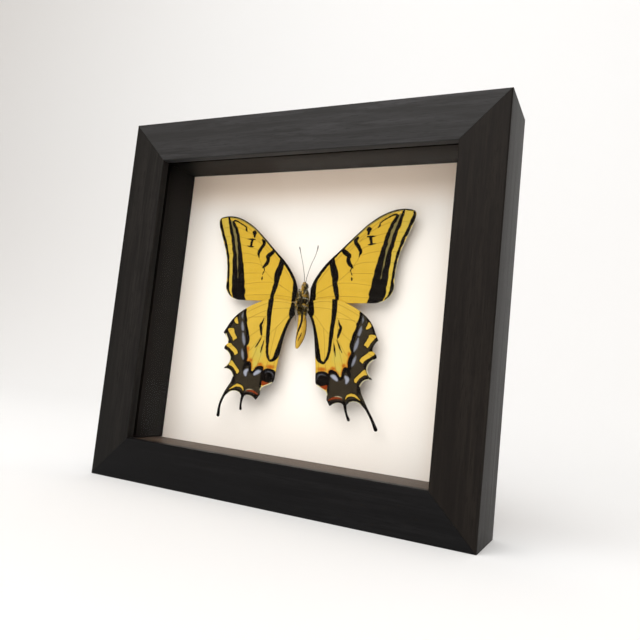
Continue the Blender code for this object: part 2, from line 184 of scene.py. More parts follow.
def rail_profile():
    """The section as (distance in from the outer edge, depth): eased corners, and a square rabbet inside."""
    o, i = OUTER_EASE, LIP_EASE
    deep = BACK - FRONT
    return np.vstack([
        arc((o, o), o, 180, 270),
        arc((RAIL_FACE - i, i), i, 270, 360),
        [(RAIL_FACE, LIP_DEPTH), (WALL, LIP_DEPTH), (WALL, deep - 0.2 * MM), (WALL - 0.2 * MM, deep)],
        arc((o, deep - o), o, 90, 180),
    ])


def add_rail(name, sideways, outer, ends, material):
    """Carries the section from mitre to mitre: each ring lies on the 45 degree plane through its corner."""
    inward, depth = rail_profile().T
    sign = -1 if outer > (BOTTOM if sideways else LEFT) else 1
    rings = []
    for end, way in zip(ends, (1, -1)):
        along = end + way * (inward + MITRE_GAP / 2)
        across = outer + sign * inward
        y = FRONT + depth
        rings.append(np.stack([along, y, across] if sideways else [across, y, along], 1))
    rail = add_mesh(name, np.vstack(rings), tube_faces(2, len(inward)), material, 30)
    face_outwards(rail, 30)
    return rail


# Each length gets its own copy of the one stain, lighter at the top and darker at the bottom as painted
# light:
# palest on the top one, blackest on the bottom one.
for node, along, outer, ends, ground, raised in (
    ("rail_top", 0, TOP, (LEFT, RIGHT), "#292929", "#434345"),
    ("rail_bottom", 0, BOTTOM, (LEFT, RIGHT), "#0E0E0F", "#1A1A1B"),
    ("rail_left", 2, LEFT, (BOTTOM, TOP), "#131211", "#242220"),
    ("rail_right", 2, RIGHT, (BOTTOM, TOP), "#14110F", "#25211D"),
):
    ash = stained_wood("black_ash_painted_light" + node.removeprefix("rail"), along, ground, raised, 0.04 * MM)
    rail = add_rail("mitred_" + node, along == 0, outer, ends, ash)
    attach(rail, "root")
    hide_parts(node)


# ---------------------------------------------------------------------------------------------------
# Glass: a 2 mm pane of coated picture glass behind the lip. The coating mirrors under one hundredth of
# the light, as an index close to air's does, so the pane is hardly seen.
# ---------------------------------------------------------------------------------------------------

coated_glass, tree, shader = new_material(
    "coated_picture_glass",
    Base_Color=colour("#FAFDFB"),
    Roughness=0.0,
    IOR=1.1,
    Transmission_Weight=1.0,
)
clear = add(tree, "BsdfTransparent")
pane = shader.outputs[0]
for light in ("Is Shadow Ray", "Is Diffuse Ray"):
    passing = add(tree, "LightPath", output=light)
    pane = add(tree, "MixShader", {0: passing, 1: pane, 2: clear})
tree.links.new(pane, tree.nodes["Material Output"].inputs["Surface"])


def dress(node, material):
    """Gives a CAD node a finish in place of its own."""
    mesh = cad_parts[node].data
    mesh.materials.clear()
    mesh.materials.append(material)


dress("glass", coated_glass)


# ---------------------------------------------------------------------------------------------------
# Spacers: four sawn strips of softwood, stained dark brown and left unwaxed, that line the box and
# hold the glass off the board. Their colours carry painted light: the bottom one, which faces up into the
# light, is painted much paler, and the other three are painted nearly black as painted shade.
# ---------------------------------------------------------------------------------------------------

# Painted light: a pale copy of the stain on the bottom strip, which faces the light, and near-black painted
# shade on the others.
for side, along, ground, raised in (
    ("top", 0, "#080605", "#15100D"),
    ("bottom", 0, "#43372E", "#786659"),
    ("left", 2, "#0A0807", "#1A1411"),
    ("right", 2, "#0B0807", "#1D1612"),
):
    dress("spacer_" + side, stained_wood("brown_strip_painted_light_" + side, along, ground, raised, 0.03 * MM))


# ---------------------------------------------------------------------------------------------------
# Mount board: white rag board, glued to the backing. Felt marks give it a faint tooth, and a warm buff
# is painted along its top and side edges as painted shade from the rails, most of all below the top one.
# ---------------------------------------------------------------------------------------------------

rag_board, tree, shader = new_material("white_rag_board", Roughness=0.9, Specular_IOR_Level=0.2)
place = add(tree, "TexCoord", output="Object")
cloud = add(tree, "TexNoise", {"Vector": place, "Scale": 1 / (30 * MM), "Detail": 2.0})
tone = add(tree, "Mix", {0: cloud, 6: colour("#FDF6F1"), 7: colour("#FEF9F5")}, output=2, data_type="RGBA")
board_low, board_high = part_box("mount_board")
across, _, above = (add(tree, "SeparateXYZ", {0: place}, output=axis) for axis in range(3))
# Painted shade: a warm buff laid in strongly along the top edge and weakly along the sides, where the rails
# shade the board.
edges = ((above, board_high.z, 34, 0.62), (across, board_low.x, 24, 0.12), (across, board_high.x, 24, 0.2))
for reading, edge, reach, shade_strength in edges:
    gap = add(tree, "Math", {0: reading, 1: edge}, operation="SUBTRACT")
    gap = add(tree, "Math", {0: gap}, operation="ABSOLUTE")
    painted_shade = add(
        tree, "MapRange",
        {"Value": gap, "From Min": 8 * MM, "From Max": reach * MM, "To Min": shade_strength, "To Max": 0.0},
        interpolation_type="SMOOTHERSTEP",
    )
    tone = add(tree, "Mix", {0: painted_shade, 6: tone, 7: colour("#F5D3B5")}, output=2, data_type="RGBA")
tree.links.new(tone, shader.inputs["Base Color"])
tooth = add(tree, "TexNoise", {"Vector": place, "Scale": 1 / (0.35 * MM), "Detail": 4.0})
bump = add(tree, "Bump", {"Height": tooth, "Strength": 0.35, "Distance": 0.03 * MM})
tree.links.new(bump, shader.inputs["Normal"])
dress("mount_board", rag_board)


# ---------------------------------------------------------------------------------------------------
# Wings: stiff dry membranes carried by thin veins and tiled with coloured scales. The forewings lie
# next to the board and the hindwings over them; the left pair was spread a little lower and leans out.
# ---------------------------------------------------------------------------------------------------

# Everything drawn on a wing is in millimetres: out from the centre line, and up from the middle.
WING_ROOT = np.array([3.5, 6.0])
WING_GRID = 0.25
WING_THICK = 0.12 * MM
VEIN_HEIGHT = 0.07
VEIN_WIDTH = 0.3
SCALE_SPREAD = 0.12
SPECIMEN_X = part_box("forewing_right")[0].x - WING_ROOT[0] * MM
SPECIMEN_Z = (TOP + BOTTOM) / 2
FOREWING_Y = (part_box("forewing_right")[0].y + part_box("forewing_right")[1].y) / 2
HINDWING_Y = (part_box("hindwing_right")[0].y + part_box("hindwing_right")[1].y) / 2


def curve_through(points, steps=4, closed=False):
    """A Catmull-Rom curve: each stretch is the cubic that passes its two ends with its neighbours' slope."""
    p = np.asarray(points, float)
    if closed:
        p = np.vstack([p[-1:], p, p[:2]])
    else:
        p = np.vstack([2 * p[0] - p[1], p, 2 * p[-1] - p[-2]])
    t = np.linspace(0, 1, steps, endpoint=False)[None, :, None]
    a, b, c, d = (part[:, None] for part in (p[:-3], p[1:-2], p[2:-1], p[3:]))
    curve = 0.5 * (2 * b + (c - a) * t + (2 * a - 5 * b + 4 * c - d) * t**2 + (3 * b - a - 3 * c + d) * t**3)
    curve = curve.reshape(-1, p.shape[1])
    return curve if closed else np.vstack([curve, p[-2:-1]])


def nearest_on(points, line):
    """For each point and each piece of a line: the gap between them and how far along the piece it is met."""
    start, way = line[:-1, :2], np.diff(line[:, :2], axis=0)
    away = points[:, None] - start
    along = np.clip((away * way).sum(2) / np.maximum((way * way).sum(1), 1e-12), 0, 1)
    return np.linalg.norm(away - along[..., None] * way, axis=2), along


def stroke(points, line, steps=4):
    """Signed distance to a brush stroke, negative inside: the gap to its line less its half width there."""
    route = curve_through(line, steps)
    gap, along = nearest_on(points, route)
    half = route[:-1, 2] + along * np.diff(route[:, 2])
    return (gap - half).min(1)


def patch(points, outline, steps=3):
    """Signed distance to a rounded patch, negative inside: the gap to its edge, with the sign by even-odd."""
    edge = curve_through(outline, steps, closed=True)
    return signed_gap(points, np.vstack([edge, edge[:1]]))


def signed_gap(points, edge):
    """Signed distance to a closed edge: a point is inside if a ray from it crosses the edge an odd count."""
    gap, _ = nearest_on(points, edge)
    (x0, y0), (x1, y1) = edge[:-1].T, edge[1:].T
    x, y = points[:, :1], points[:, 1:]
    spans = (y0 > y) != (y1 > y)
    meets = x < (x1 - x0) * (y - y0) / np.where(y1 == y0, 1e-12, y1 - y0) + x0
    within = (spans & meets).sum(1) % 2 == 1
    return np.where(within, -1, 1) * gap.min(1)


def union(*fields):
    """Several shapes as one: the least of their signed distances."""
    return np.minimum.reduce(fields)


def soft(field, reach):
    """A mask from a signed distance: 1 well inside, 0 well outside, smooth over the reach to either side."""
    t = np.clip(0.5 - field / (2 * reach), 0, 1)
    return t * t * (3 - 2 * t)


def spot(points, centre, size):
    """A soft round mask: a bell of the given half sizes about its centre."""
    return np.exp(-(((points - np.array(centre)) / np.array(size)) ** 2).sum(1))


FORE_LEADING = [
    (3.5, 10.6), (5.5, 15.7), (10.5, 23), (18.5, 31), (28.5, 40.8), (33.3, 44.7), (38.5, 47.8),
    (43.5, 49.7), (48.5, 50.3), (52.6, 49.8),
]
FORE_TIP = [(54, 48.9), (54.4, 47.3)]
FORE_OUTER = [
    (53.5, 43.6), (51.6, 38.6), (49.9, 34.2), (48.4, 29.9), (47.5, 25.6), (46.9, 20.8), (46.7, 16),
    (46.8, 11.9), (45.6, 9), (43.1, 6.5), (39.9, 5.2),
]
FORE_TRAILING = [(34.3, 4.7), (20, 4.2), (8.5, 4), (3.5, 3.8)]


def forewing_edge():
    """Up the leading edge, round the tip, down the slightly hollow outer edge and back to the root."""
    edge = curve_through(FORE_LEADING + FORE_TIP + FORE_OUTER + FORE_TRAILING, 4)
    return np.vstack([edge, edge[:1]])


def scallop(start, end, depth, steps=6):
    """The hollow between two teeth: a parabola sunk to the right of the way from start to end."""
    start, end = np.array(start, float), np.array(end, float)
    t = np.linspace(0, 1, steps + 1)[1:-1, None]
    way = end - start
    side = np.array([way[1], -way[0]]) / np.linalg.norm(way)
    return start + way * t + side * depth * 4 * t * (1 - t)


def tail(line, steps=4, spared=0):
    """Down one side of a tail's middle line, round its tip and up the other, less the last few points."""
    middle = curve_through(line, steps)
    way = np.gradient(middle[:, :2], axis=0)
    way /= np.linalg.norm(way, axis=1)[:, None]
    side = np.stack([-way[:, 1], way[:, 0]], 1)
    half = middle[:, 2:]
    turn = np.radians(np.arange(60, -61, -30))[:, None]
    tip = middle[-1, :2] + half[-1] * (way[-1] * np.cos(turn) + side[-1] * np.sin(turn))
    back = (middle[:, :2] - side * half)[::-1]
    return np.vstack([middle[:, :2] + side * half, tip, back[: len(back) - spared]])


def hindwing_edge(swing, spread):
    """Out along the leading edge, round the teeth and two tails, and up the inner edge.

    swing bends the tails' tips in and down, and spread widens the wing at its first tooth.
    """
    leading = [(3.5, 3.6), (8, 5.2), (15.5, 5.9), (20.5, 5.2), (24.5, 3.9), (28.5, 2.1), (32.2, 0)]
    first = [(35.6 + spread * 0.3, -2.6), (38.4 + spread * 0.6, -5.9), (40.3 + spread * 0.9, -9.6)]
    tooth_1 = (42.0 + spread, -12.7)
    notch_1 = (39.4 + spread * 0.5, -17.3)
    tooth_2 = (41.9, -21.0)
    tooth_3 = (40.9, -31.1)
    anal_tooth = (20.6, -45.6)
    long_tail = [
        (35.0, -38.6, 1.2), (38.4, -43.4, 0.72), (42.3 - swing * 0.55, -49.0 - swing * 0.2, 0.62),
        (44.9 - swing * 1.4, -53.6 - swing * 0.6, 0.9),
    ]
    short_tail = [
        (28.3, -44.0, 0.85), (28.9 - swing * 0.08, -46.3, 0.62), (29.8 - swing * 0.35, -48.7, 0.55),
        (31.0 - swing * 0.9, -50.8, 0.72),
    ]
    between_tails = [(37.3, -43.9), (35.2, -42.5), (32.7, -42.1), (30.4, -42.8), (29.3, -44)]
    lobe = [(18.6, -42.8), (18.5, -40.3), (17.6, -39), (14.6, -37.5), (12.5, -36.3), (11.6, -34.6)]
    inner = [(11, -28.8), (9.7, -20), (7.9, -10.8), (5.6, -4.6), (3.5, -1.6)]
    edge = np.vstack([
        curve_through(leading + first + [tooth_1], 4),
        scallop(tooth_1, notch_1, 0.5, 4),
        curve_through([notch_1, (39.9, -18.1), (41.6, -19.6), tooth_2], 2),
        scallop(tooth_2, tooth_3, 3.7, 9),
        [tooth_3],
        scallop(tooth_3, (34.6, -36.4), 1.9, 6),
        tail(long_tail, spared=5),
        curve_through(between_tails, 3),
        tail(short_tail),
        scallop((27.3, -43.6), anal_tooth, 0.8, 6),
        [anal_tooth],
        curve_through(lobe + inner, 4),
    ])
    return np.vstack([edge, edge[:1]])


def wing_grid(edge):
    """A square grid cut to an edge: points within half a step of the edge are drawn onto it, and each cell
    keeps the quad, or at a corner of the wing the triangle, that its kept points make."""
    low, high = edge.min(0) - WING_GRID, edge.max(0) + WING_GRID
    u = np.arange(low[0], high[0] + WING_GRID, WING_GRID)
    v = np.arange(low[1], high[1] + WING_GRID, WING_GRID)
    points = np.stack(np.meshgrid(u, v, indexing="ij"), -1).reshape(-1, 2)
    gap, along = nearest_on(points, edge)
    piece = gap.argmin(1)
    rows = np.arange(len(points))
    met = edge[piece] + along[rows, piece, None] * (edge[piece + 1] - edge[piece])
    signed = signed_gap(points, edge)
    drawn = np.abs(signed) < WING_GRID * 0.52
    points[drawn] = met[drawn]
    kept = (signed < 0) | drawn
    index = rows.reshape(len(u), len(v))
    cells = np.stack([index[:-1, :-1], index[1:, :-1], index[1:, 1:], index[:-1, 1:]], -1).reshape(-1, 4)
    count = kept[cells].sum(1)
    whole = cells[count == 4]
    cut = cells[count == 3]
    cut = cut[kept[cut]].reshape(-1, 3)
    used = np.unique(np.concatenate([whole.ravel(), cut.ravel()]))
    new = np.full(len(points), -1)
    new[used] = np.arange(len(used))
    return points[used], new[whole].tolist() + new[cut].tolist()


# Veins, drawn as lines: they stand up as fine ridges and show brown through the scales.
FORE_VEINS = [
    [(4, 6.6), (8.5, 9.2), (13.5, 12.1), (19, 15.8), (23.4, 19.9), (25, 22.2), (27.1, 25.6), (27.9, 27.8)],
    [(4, 9), (8, 15.2), (13.5, 22.6), (19.4, 28.9), (24, 33.2), (30.4, 39), (38.5, 45.8), (43.5, 48.6)],
    [(4.5, 5.6), (13, 7), (24, 7.6), (35.5, 7.3), (44, 7.6)],
    [(12, 11.2), (17.8, 13.7), (26, 14.1), (36, 13.2), (46, 12.8)],
    [(22.9, 19.5), (25.6, 18.9), (32, 19.1), (38, 18.9), (46.6, 18.6)],
    [(25, 22.2), (27.2, 23.5), (31, 24.4), (38.4, 24.7), (47.3, 24.4)],
    [(27.9, 27.8), (30.4, 28.3), (33.6, 29.3), (40, 30.1), (48.2, 29.6)],
    [(27.9, 27.8), (28.6, 30.9), (32, 32.4), (37, 33.9), (42, 34.8), (49.8, 34.6)],
    [(22.5, 30), (26.5, 34), (31, 36.6), (36, 37.6), (42, 39), (51.5, 39.2)],
    [(26.5, 34), (31, 38.4), (36, 41.4), (43, 44.2), (53, 44)],
]
HIND_VEINS = [
    [(4, 2.8), (7.5, 4), (12, 4.6), (16.5, 4.3), (22, 2.6), (29, -0.6), (34.5, -3.6), (38.6, -6.4)],
    [(4, 1.5), (10, 1.4), (17, 0.6), (24, -1.9), (31, -5.8), (37, -10), (41, -12.2)],
    [(4, 0.6), (8.5, -3.5), (13, -8.4), (16.5, -11.6), (19, -13.4), (21.2, -13.6)],
    [(17, 0.6), (19.5, -3.2), (24, -3.6), (30, -4.2)],
    [(19.5, -3.2), (20.6, -8.4), (21.2, -13.6)],
    [(21.2, -13.6), (25.5, -19.5), (30.5, -24), (36, -27.2), (40, -30.6)],
    [(20.6, -8.4), (26, -12.5), (32, -16.5), (37, -19), (41, -20.8)],
    [(21.2, -13.6), (23.4, -21), (26.5, -28.5), (31, -35.5), (37, -42), (44, -52.5)],
    [(19, -13.4), (19.8, -20), (21.8, -28), (25, -36), (28.2, -43), (30.6, -50)],
    [(13, -8.4), (14.4, -16), (15.5, -24), (17.8, -33), (20, -42), (20.8, -45)],
    [(4, 0), (8.4, -8), (11, -18), (12.6, -28), (13.4, -36)],
]


def vein_gap(points, veins):
    """Distance to the nearest vein."""
    return np.minimum.reduce([nearest_on(points, curve_through(vein, 4))[0].min(1) for vein in veins])


def paint_forewing(p):
    """The forewing's markings as masks and signed distances over its points."""
    leading_widths = (2.5, 1.5, 1.35, 0.75, 0.38, 0.38, 0.4, 0.45, 0.5, 0.5)
    leading = np.column_stack([np.array(FORE_LEADING), leading_widths])
    margin = stroke(p, [
        (53.4, 49, 0.35), (53.6, 47.3, 0.65), (52.8, 44.6, 0.85), (51.6, 41.9, 0.6), (50.9, 39.2, 0.85),
        (49.4, 36.6, 0.6), (48.8, 34.2, 0.78), (47.8, 31.4, 0.5), (47.3, 29, 0.75), (46.6, 26, 0.48),
        (46.4, 23.6, 0.72), (46, 20.8, 0.45), (46, 18.2, 0.7), (45.6, 15.4, 0.45), (45.9, 12.6, 1),
        (45.2, 10.4, 0.6), (44.5, 8.6, 0.45), (43, 6.9, 0.28),
    ])
    outer_line = stroke(p, [
        (48.3, 49.6, 0.55), (47.7, 47.2, 0.65), (47, 45, 0.7), (46.3, 42.2, 0.95), (45.4, 40, 0.75),
        (44.7, 37.2, 0.95), (44.2, 34.6, 0.8), (43.8, 32.4, 1), (43, 30, 0.95), (42.7, 27, 1.3),
        (42.5, 24, 1.25), (41.9, 20.2, 1.5), (41.8, 17, 1.6), (41.4, 14, 1.8),
    ])
    inner_line = stroke(p, [
        (45.4, 47.1, 0.5), (44.3, 45, 0.78), (43.1, 43.2, 0.68), (42.6, 41.6, 0.82), (41.9, 40, 0.72),
        (41.2, 37, 0.95), (40.7, 35.2, 0.85), (40.5, 33.2, 1.1), (39.8, 31, 1.05), (39.5, 28.2, 1.35),
        (39, 25.6, 1.4), (38.4, 22, 1.7), (37.9, 18.2, 1.75), (37.4, 14.6, 2),
    ])
    block = patch(p, [
        (36, 15), (35.3, 12), (34.7, 10.4), (34.5, 9), (34.9, 7.8), (34.7, 6.6), (34.1, 5), (34.6, 4),
        (38, 3.8), (41.2, 5.3), (42.2, 7.2), (43, 9.4), (42.9, 12), (42.5, 15.6), (39.6, 16.4),
    ])
    hook = stroke(p, [
        (45.3, 47.1, 0.45), (44.5, 47.8, 0.34), (42.8, 47.3, 0.3), (40.8, 46.2, 0.24), (38.7, 45, 0.22),
        (36.9, 43.7, 0.22),
    ])
    hook_end = stroke(p, [(36.8, 43.2, 0.3), (36.8, 42.4, 0.42), (36.1, 41.5, 0.18)])
    bar_1 = patch(p, [
        (31.2, 41.7), (32.3, 41.4), (32.8, 40.6), (32.1, 39.4), (31.8, 38.2), (31, 37.9), (30.9, 39.4),
        (30.2, 40.3),
    ])
    bar_2 = union(
        stroke(p, [(30.9, 37, 0.2), (32.6, 37, 0.4), (35.3, 37.3, 0.08)]),
        stroke(p, [(32.5, 36.9, 0.6), (33, 35.4, 0.62), (33.3, 33.8, 0.6)]),
        stroke(p, [(31.6, 33, 0.15), (33.2, 33.2, 0.36), (35.6, 33.7, 0.08)]),
    )
    bar_3 = stroke(p, [
        (26.2, 36.4, 0.5), (25.2, 35.2, 0.85), (25.4, 33.8, 0.9), (26.6, 32.4, 0.85), (27.6, 30.8, 0.85),
        (28.2, 29.5, 0.7), (27.9, 28.2, 0.42), (27.7, 27, 0.12),
    ])
    bar_4 = stroke(p, [
        (18.6, 30.5, 0.8), (19.8, 29.4, 1.05), (21.4, 28.4, 1.15), (22.5, 27.5, 1.05), (22.1, 26.2, 0.98),
        (22.4, 24.8, 1), (23.2, 23.4, 0.9), (24.2, 22.3, 0.62), (25, 21.5, 0.2),
    ])
    bar_end = union(
        stroke(p, [(24.2, 21.3, 0.24), (23.9, 20.3, 0.16), (24.5, 19, 0.18), (24.9, 18, 0.1)]),
        stroke(p, [(24.8, 16.9, 0.12), (25, 16.1, 0.42), (25, 15.3, 0.1)]),
    )
    discal = stroke(p, [
        (13.4, 25.8, 1.45), (14.1, 23, 1.5), (14.9, 20.6, 1.7), (15.8, 18, 1.85), (16.2, 15.8, 1.55),
        (16.3, 13.6, 1.25), (16.9, 11.6, 1.3), (17.5, 9.4, 1.2), (18.1, 7.4, 1), (18.3, 5.5, 0.95),
        (18.4, 3.4, 0.95),
    ])
    base = patch(p, [(2.5, 12), (5, 13.6), (6.3, 12.6), (6.4, 9), (6.6, 5), (6.2, 3), (2.5, 3)])
    dark = union(
        stroke(p, leading), margin, outer_line, inner_line, block, hook, hook_end, bar_1, bar_2, bar_3, bar_4,
        bar_end, discal, base,
    )
    between = stroke(p, [
        (46.6, 47.6, 0.6), (45.7, 45, 1.1), (44.6, 42, 1.4), (43.3, 38, 1.5), (42.4, 34.4, 1.5),
        (41.5, 30.6, 1.5), (41, 26.6, 1.3), (40.3, 22.4, 1.2), (39.9, 19, 1.1), (39.7, 16.8, 1),
    ])
    costal = stroke(p, [
        (15.5, 27.6, 0.2), (20.3, 32, 0.4), (28.9, 40.5, 0.55), (33.7, 44.3, 0.6), (39.2, 47.4, 0.55),
        (43.6, 49.1, 0.5), (46.8, 49.5, 0.4),
    ])
    submargin = patch(p, [
        (48.8, 49.8), (54.2, 49), (53.2, 43), (49.6, 35), (46.9, 24), (46.5, 11.5), (44, 7), (42.6, 7.4),
        (43, 16), (43, 24), (45, 34), (47.2, 42),
    ])
    veins = vein_gap(p, FORE_VEINS)
    return {
        "dark_edge": dark,
        "olive": np.maximum(soft(between, 0.3), soft(costal, 0.3) * 0.9),
        "lemon": np.maximum(0.6 * soft(submargin, 0.8), 0.4 * soft(stroke(p, leading) - 1.4, 1.2)),
        "vein_gap": veins,
        "fringe": soft(margin_gap(p, FORE_OUTER) - 0.22, 0.14),
    }


def margin_gap(points, line):
    """Distance to a stretch of a wing's edge."""
    return nearest_on(points, curve_through(line, 4))[0].min(1)


def paint_hindwing(p):
    """The hindwing's markings, with painted highlights and a painted sheen, as masks and signed distances
    over its points.
    """
    discal = stroke(p, [
        (17.5, 6.5, 1.35), (17.6, 4.4, 1.3), (17.8, 1.6, 1.25), (17.9, -1, 1.25), (17.8, -4, 1.1),
        (17.6, -8, 0.98), (17.5, -12, 0.98), (17.4, -16, 0.78), (17.2, -20, 0.68), (16.5, -23.2, 0.6),
        (15.3, -25.3, 0.45),
    ])
    inner_band = stroke(p, [
        (3, -0.4, 0.9), (4.6, -2.4, 0.95), (6.5, -5.5, 0.92), (7.9, -9, 0.92), (9, -12.4, 1),
        (9.8, -15.6, 1.15), (10.5, -18.6, 1.3), (11.3, -21.4, 1.35), (12.1, -23.4, 1.15),
        (13.1, -24.8, 0.8), (14.8, -25.5, 0.5),
    ])
    base = patch(p, [(2.5, 5), (5.6, 4.6), (6.4, 2), (6.9, -1.6), (5.4, -4.2), (2.5, -4)])
    kinked = stroke(p, [
        (20.6, -4.2, 0.08), (21.2, -6.2, 0.4), (22.1, -7.9, 0.66), (21.7, -9.8, 0.66), (21.2, -12.2, 0.45),
        (20.9, -13.2, 0.08),
    ])
    streaks = union(
        stroke(p, [(20.8, -14, 0.06), (22, -16.2, 0.24), (23, -18, 0.24), (24.1, -19.6, 0.05)]),
        stroke(p, [(19.4, -15.6, 0.05), (20.1, -18.6, 0.28), (20.8, -21.8, 0.06)]),
    )
    outer_field = patch(p, [
        (31.6, 0.6), (31.3, -1.4), (30.9, -3.6), (30, -5.8), (30.2, -6.6), (29.7, -8.6), (28.8, -10.6),
        (28.3, -13), (27.7, -15.4), (27.9, -17.4), (28.9, -19), (28.5, -20.8), (27.9, -23), (27.7, -24.8),
        (28, -26.4), (27.3, -26.6), (26.2, -26.6), (25.3, -28.2), (24.9, -31.4), (23.8, -31), (22.4, -29.4),
        (20.8, -28.6), (19.2, -28.5), (18.2, -29.2), (18.2, -32), (18.1, -36), (18.4, -38.8), (17.6, -41),
        (17, -47), (30, -56), (50, -58), (46, -30), (46, -10), (38, 0),
    ], 2)
    lunule_1 = patch(p, [
        (36.1, -4.2), (37.4, -5), (37.8, -6.2), (37.2, -7.2), (36.4, -7.7), (35.3, -8), (34.9, -7.2),
        (35.6, -5.9),
    ])
    lunule_2 = patch(p, [
        (37.3, -10.3), (39.8, -10.2), (40.8, -11.2), (39.6, -12.9), (38, -15), (37, -16.7), (36, -15.9),
        (34.9, -15.2), (36.1, -13.1), (36.8, -11.7),
    ])
    lunule_3 = patch(p, [
        (38.3, -18), (40.2, -18.1), (41.1, -18.9), (40.6, -19.7), (39.3, -20.5), (37.5, -21.8), (36, -22.9),
        (35.4, -24.1), (34.3, -23.6), (33.4, -22.7), (34.7, -20.8), (36.7, -19.3),
    ])
    lunule_4 = patch(p, [
        (36.2, -26.8), (37.1, -27.1), (37.9, -28.1), (38.1, -29.3), (36.6, -29.7), (34.9, -30.9),
        (33.7, -32.3), (33, -33.6), (32, -33), (31.7, -31.8), (33.2, -30), (34.7, -28.4),
    ])
    lunule_5 = stroke(p, [
        (28.4, -41.4, 0.25), (29, -40.1, 0.55), (30.5, -39.3, 0.72), (32.3, -39.2, 0.72),
        (34.1, -40.1, 0.5), (36, -41.3, 0.24), (37, -42.2, 0.08),
    ])
    lunules = union(lunule_1, lunule_2, lunule_3, lunule_4, lunule_5)
    eye = patch(p, [
        (11, -32), (11.9, -30.4), (13.6, -29.7), (15.6, -29.6), (17.2, -30), (18.4, -31), (18.6, -33.2),
        (18.2, -35.6), (15.8, -36.4), (13.4, -36.6), (11, -35.4),
    ])
    crescent = patch(p, [
        (12.2, -36.4), (14.2, -36.6), (16.2, -36.3), (18, -35.8), (18.4, -36.9), (17.9, -38.2),
        (16.2, -37.9), (14.4, -37.3),
    ])
    arc_red = stroke(p, [
        (19.7, -42.9, 0.25), (21.3, -42, 0.5), (23.2, -41.4, 0.62), (25.2, -41.3, 0.5), (26.6, -41.8, 0.15),
    ])
    arc_cream = stroke(p, [(22.4, -40.9, 0.1), (24.4, -40.6, 0.22), (26.2, -40.9, 0.18), (27, -41.6, 0.08)])
    dark = union(discal, inner_band, base, kinked, streaks, np.maximum(outer_field, -lunules), eye)
    black_line = stroke(p, [
        (31.4, 0.4, 0.9), (31.5, -2.4, 0.9), (30.8, -5.2, 0.85), (30.4, -8, 0.95), (29.4, -11, 0.95),
        (28.8, -14, 1), (28.8, -17, 0.95), (29.6, -19.2, 0.7), (29.3, -21.4, 0.95), (28.8, -24.2, 0.95),
        (29, -26.8, 0.8),
    ])
    domes = union(
        stroke(p, [(18.4, -29.4, 0.7), (20.4, -29.3, 0.75), (22.4, -30.4, 0.75), (24.4, -32.4, 0.55)]),
        stroke(p, [
            (25.4, -31.6, 0.5), (26, -28.6, 0.9), (27.2, -27.6, 0.9), (28.8, -29, 0.9), (29.6, -31, 0.4),
        ]),
    )
    wing_rim = union(
        margin_gap(p, [(36, -2.8), (38.5, -6), (40.4, -9.7), (42, -12.7)]) - 1.0,
        stroke(p, [(41.6, -13, 0.6), (40.2, -15.2, 0.75), (38.8, -17.2, 0.7)]),
        stroke(p, [(41.4, -20.6, 0.5), (39.6, -21.8, 0.6), (37.6, -23.4, 0.75), (36.6, -25.4, 0.8)]),
        stroke(p, [
            (40.6, -31, 0.5), (38, -30.6, 0.5), (35.8, -32, 0.6), (34.3, -34.4, 0.7), (34.6, -38, 0.8),
        ]),
        margin_gap(p, [(37.3, -43.9), (35.2, -42.5), (32.7, -42.1), (30.4, -42.8), (29.3, -44)]) - 1.1,
        margin_gap(p, [(27.3, -43.6), (24, -43.7), (20.6, -45.6)]) - 1.0,
    )
    tails = np.clip((-41.5 - p[:, 1]) / 3.0, 0, 1)
    dusk = soft(outer_field + 1.1, 0.7) * (1 - soft(black_line, 0.3)) * (1 - soft(domes, 0.3))
    dusk = dusk * (1 - soft(wing_rim, 0.35)) * (1 - tails) * (1 - soft(lunules - 0.35, 0.3))
    lilac = union(
        stroke(p, [(33, -1.6, 0.4), (33.2, -3.4, 0.8), (33, -5, 0.4)]),
        stroke(p, [(32.9, -6.4, 0.5), (32.5, -8.4, 1.1), (32, -10.6, 1.05)]),
        stroke(p, [(31.8, -12.6, 0.8), (31.3, -14.8, 1.2), (30.7, -17, 1.15), (30.2, -18.8, 0.5)]),
        stroke(p, [(31.4, -20.6, 0.5), (31, -22.4, 1.05), (30.4, -24.6, 1), (29.8, -26, 0.4)]),
        stroke(p, [
            (12.3, -33.8, 0.3), (12.6, -32.2, 0.45), (13.7, -31.2, 0.5), (15.4, -31, 0.45), (17, -31.6, 0.25),
        ]),
    )
    # Painted highlights on the two domes above the eye, and a painted sheen over the band of lunules and the
    # domes; both go into the lilac mask with the real lunules.
    painted_highlights = union(
        stroke(p, [(19.8, -31.2, 0.5), (21.2, -31.6, 1.1), (22.8, -32.8, 0.8)]),
        stroke(p, [(27.2, -31, 0.7), (28.2, -32.2, 1.1), (27.9, -33.8, 0.6)]),
    )
    painted_sheen = union(
        stroke(p, [(33.6, -2, 0.8), (33.4, -8, 1.4), (32.6, -14, 1.5), (32.2, -20, 1.3), (31.4, -26, 1.2)]),
        stroke(p, [(21, -32.4, 1.6), (23, -34, 1.4)]),
        stroke(p, [(28, -33, 1.6), (28, -35, 1.2)]),
    )
    lemon = np.maximum(
        spot(p, (22.0, -22.0), (5.0, 7.0)) * 0.8,
        np.maximum(spot(p, (22.8, -28.6), (2.2, 4.0)), soft(lunules, 0.6) * 0.35),
    )
    lower_part = np.clip((-17.5 - p[:, 1]) / 3, 0, 1) * np.clip((32 + p[:, 1]) / 2, 0, 1)
    rust = soft(np.abs(outer_field - 0.2) - 0.7, 0.9) * lower_part
    orange = np.maximum.reduce([
        spot(p, (14.4, -28.6), (3.4, 1.5)),
        spot(p, (20.3, -27.8), (2.0, 1.4)),
        spot(p, (25.8, -26.0), (1.5, 1.5)),
        spot(p, (28.0, -20.2), (1.3, 1.6)),
        0.85 * rust,
        spot(p, (31.5, -38.9), (2.2, 0.5)) * 0.5,
    ])
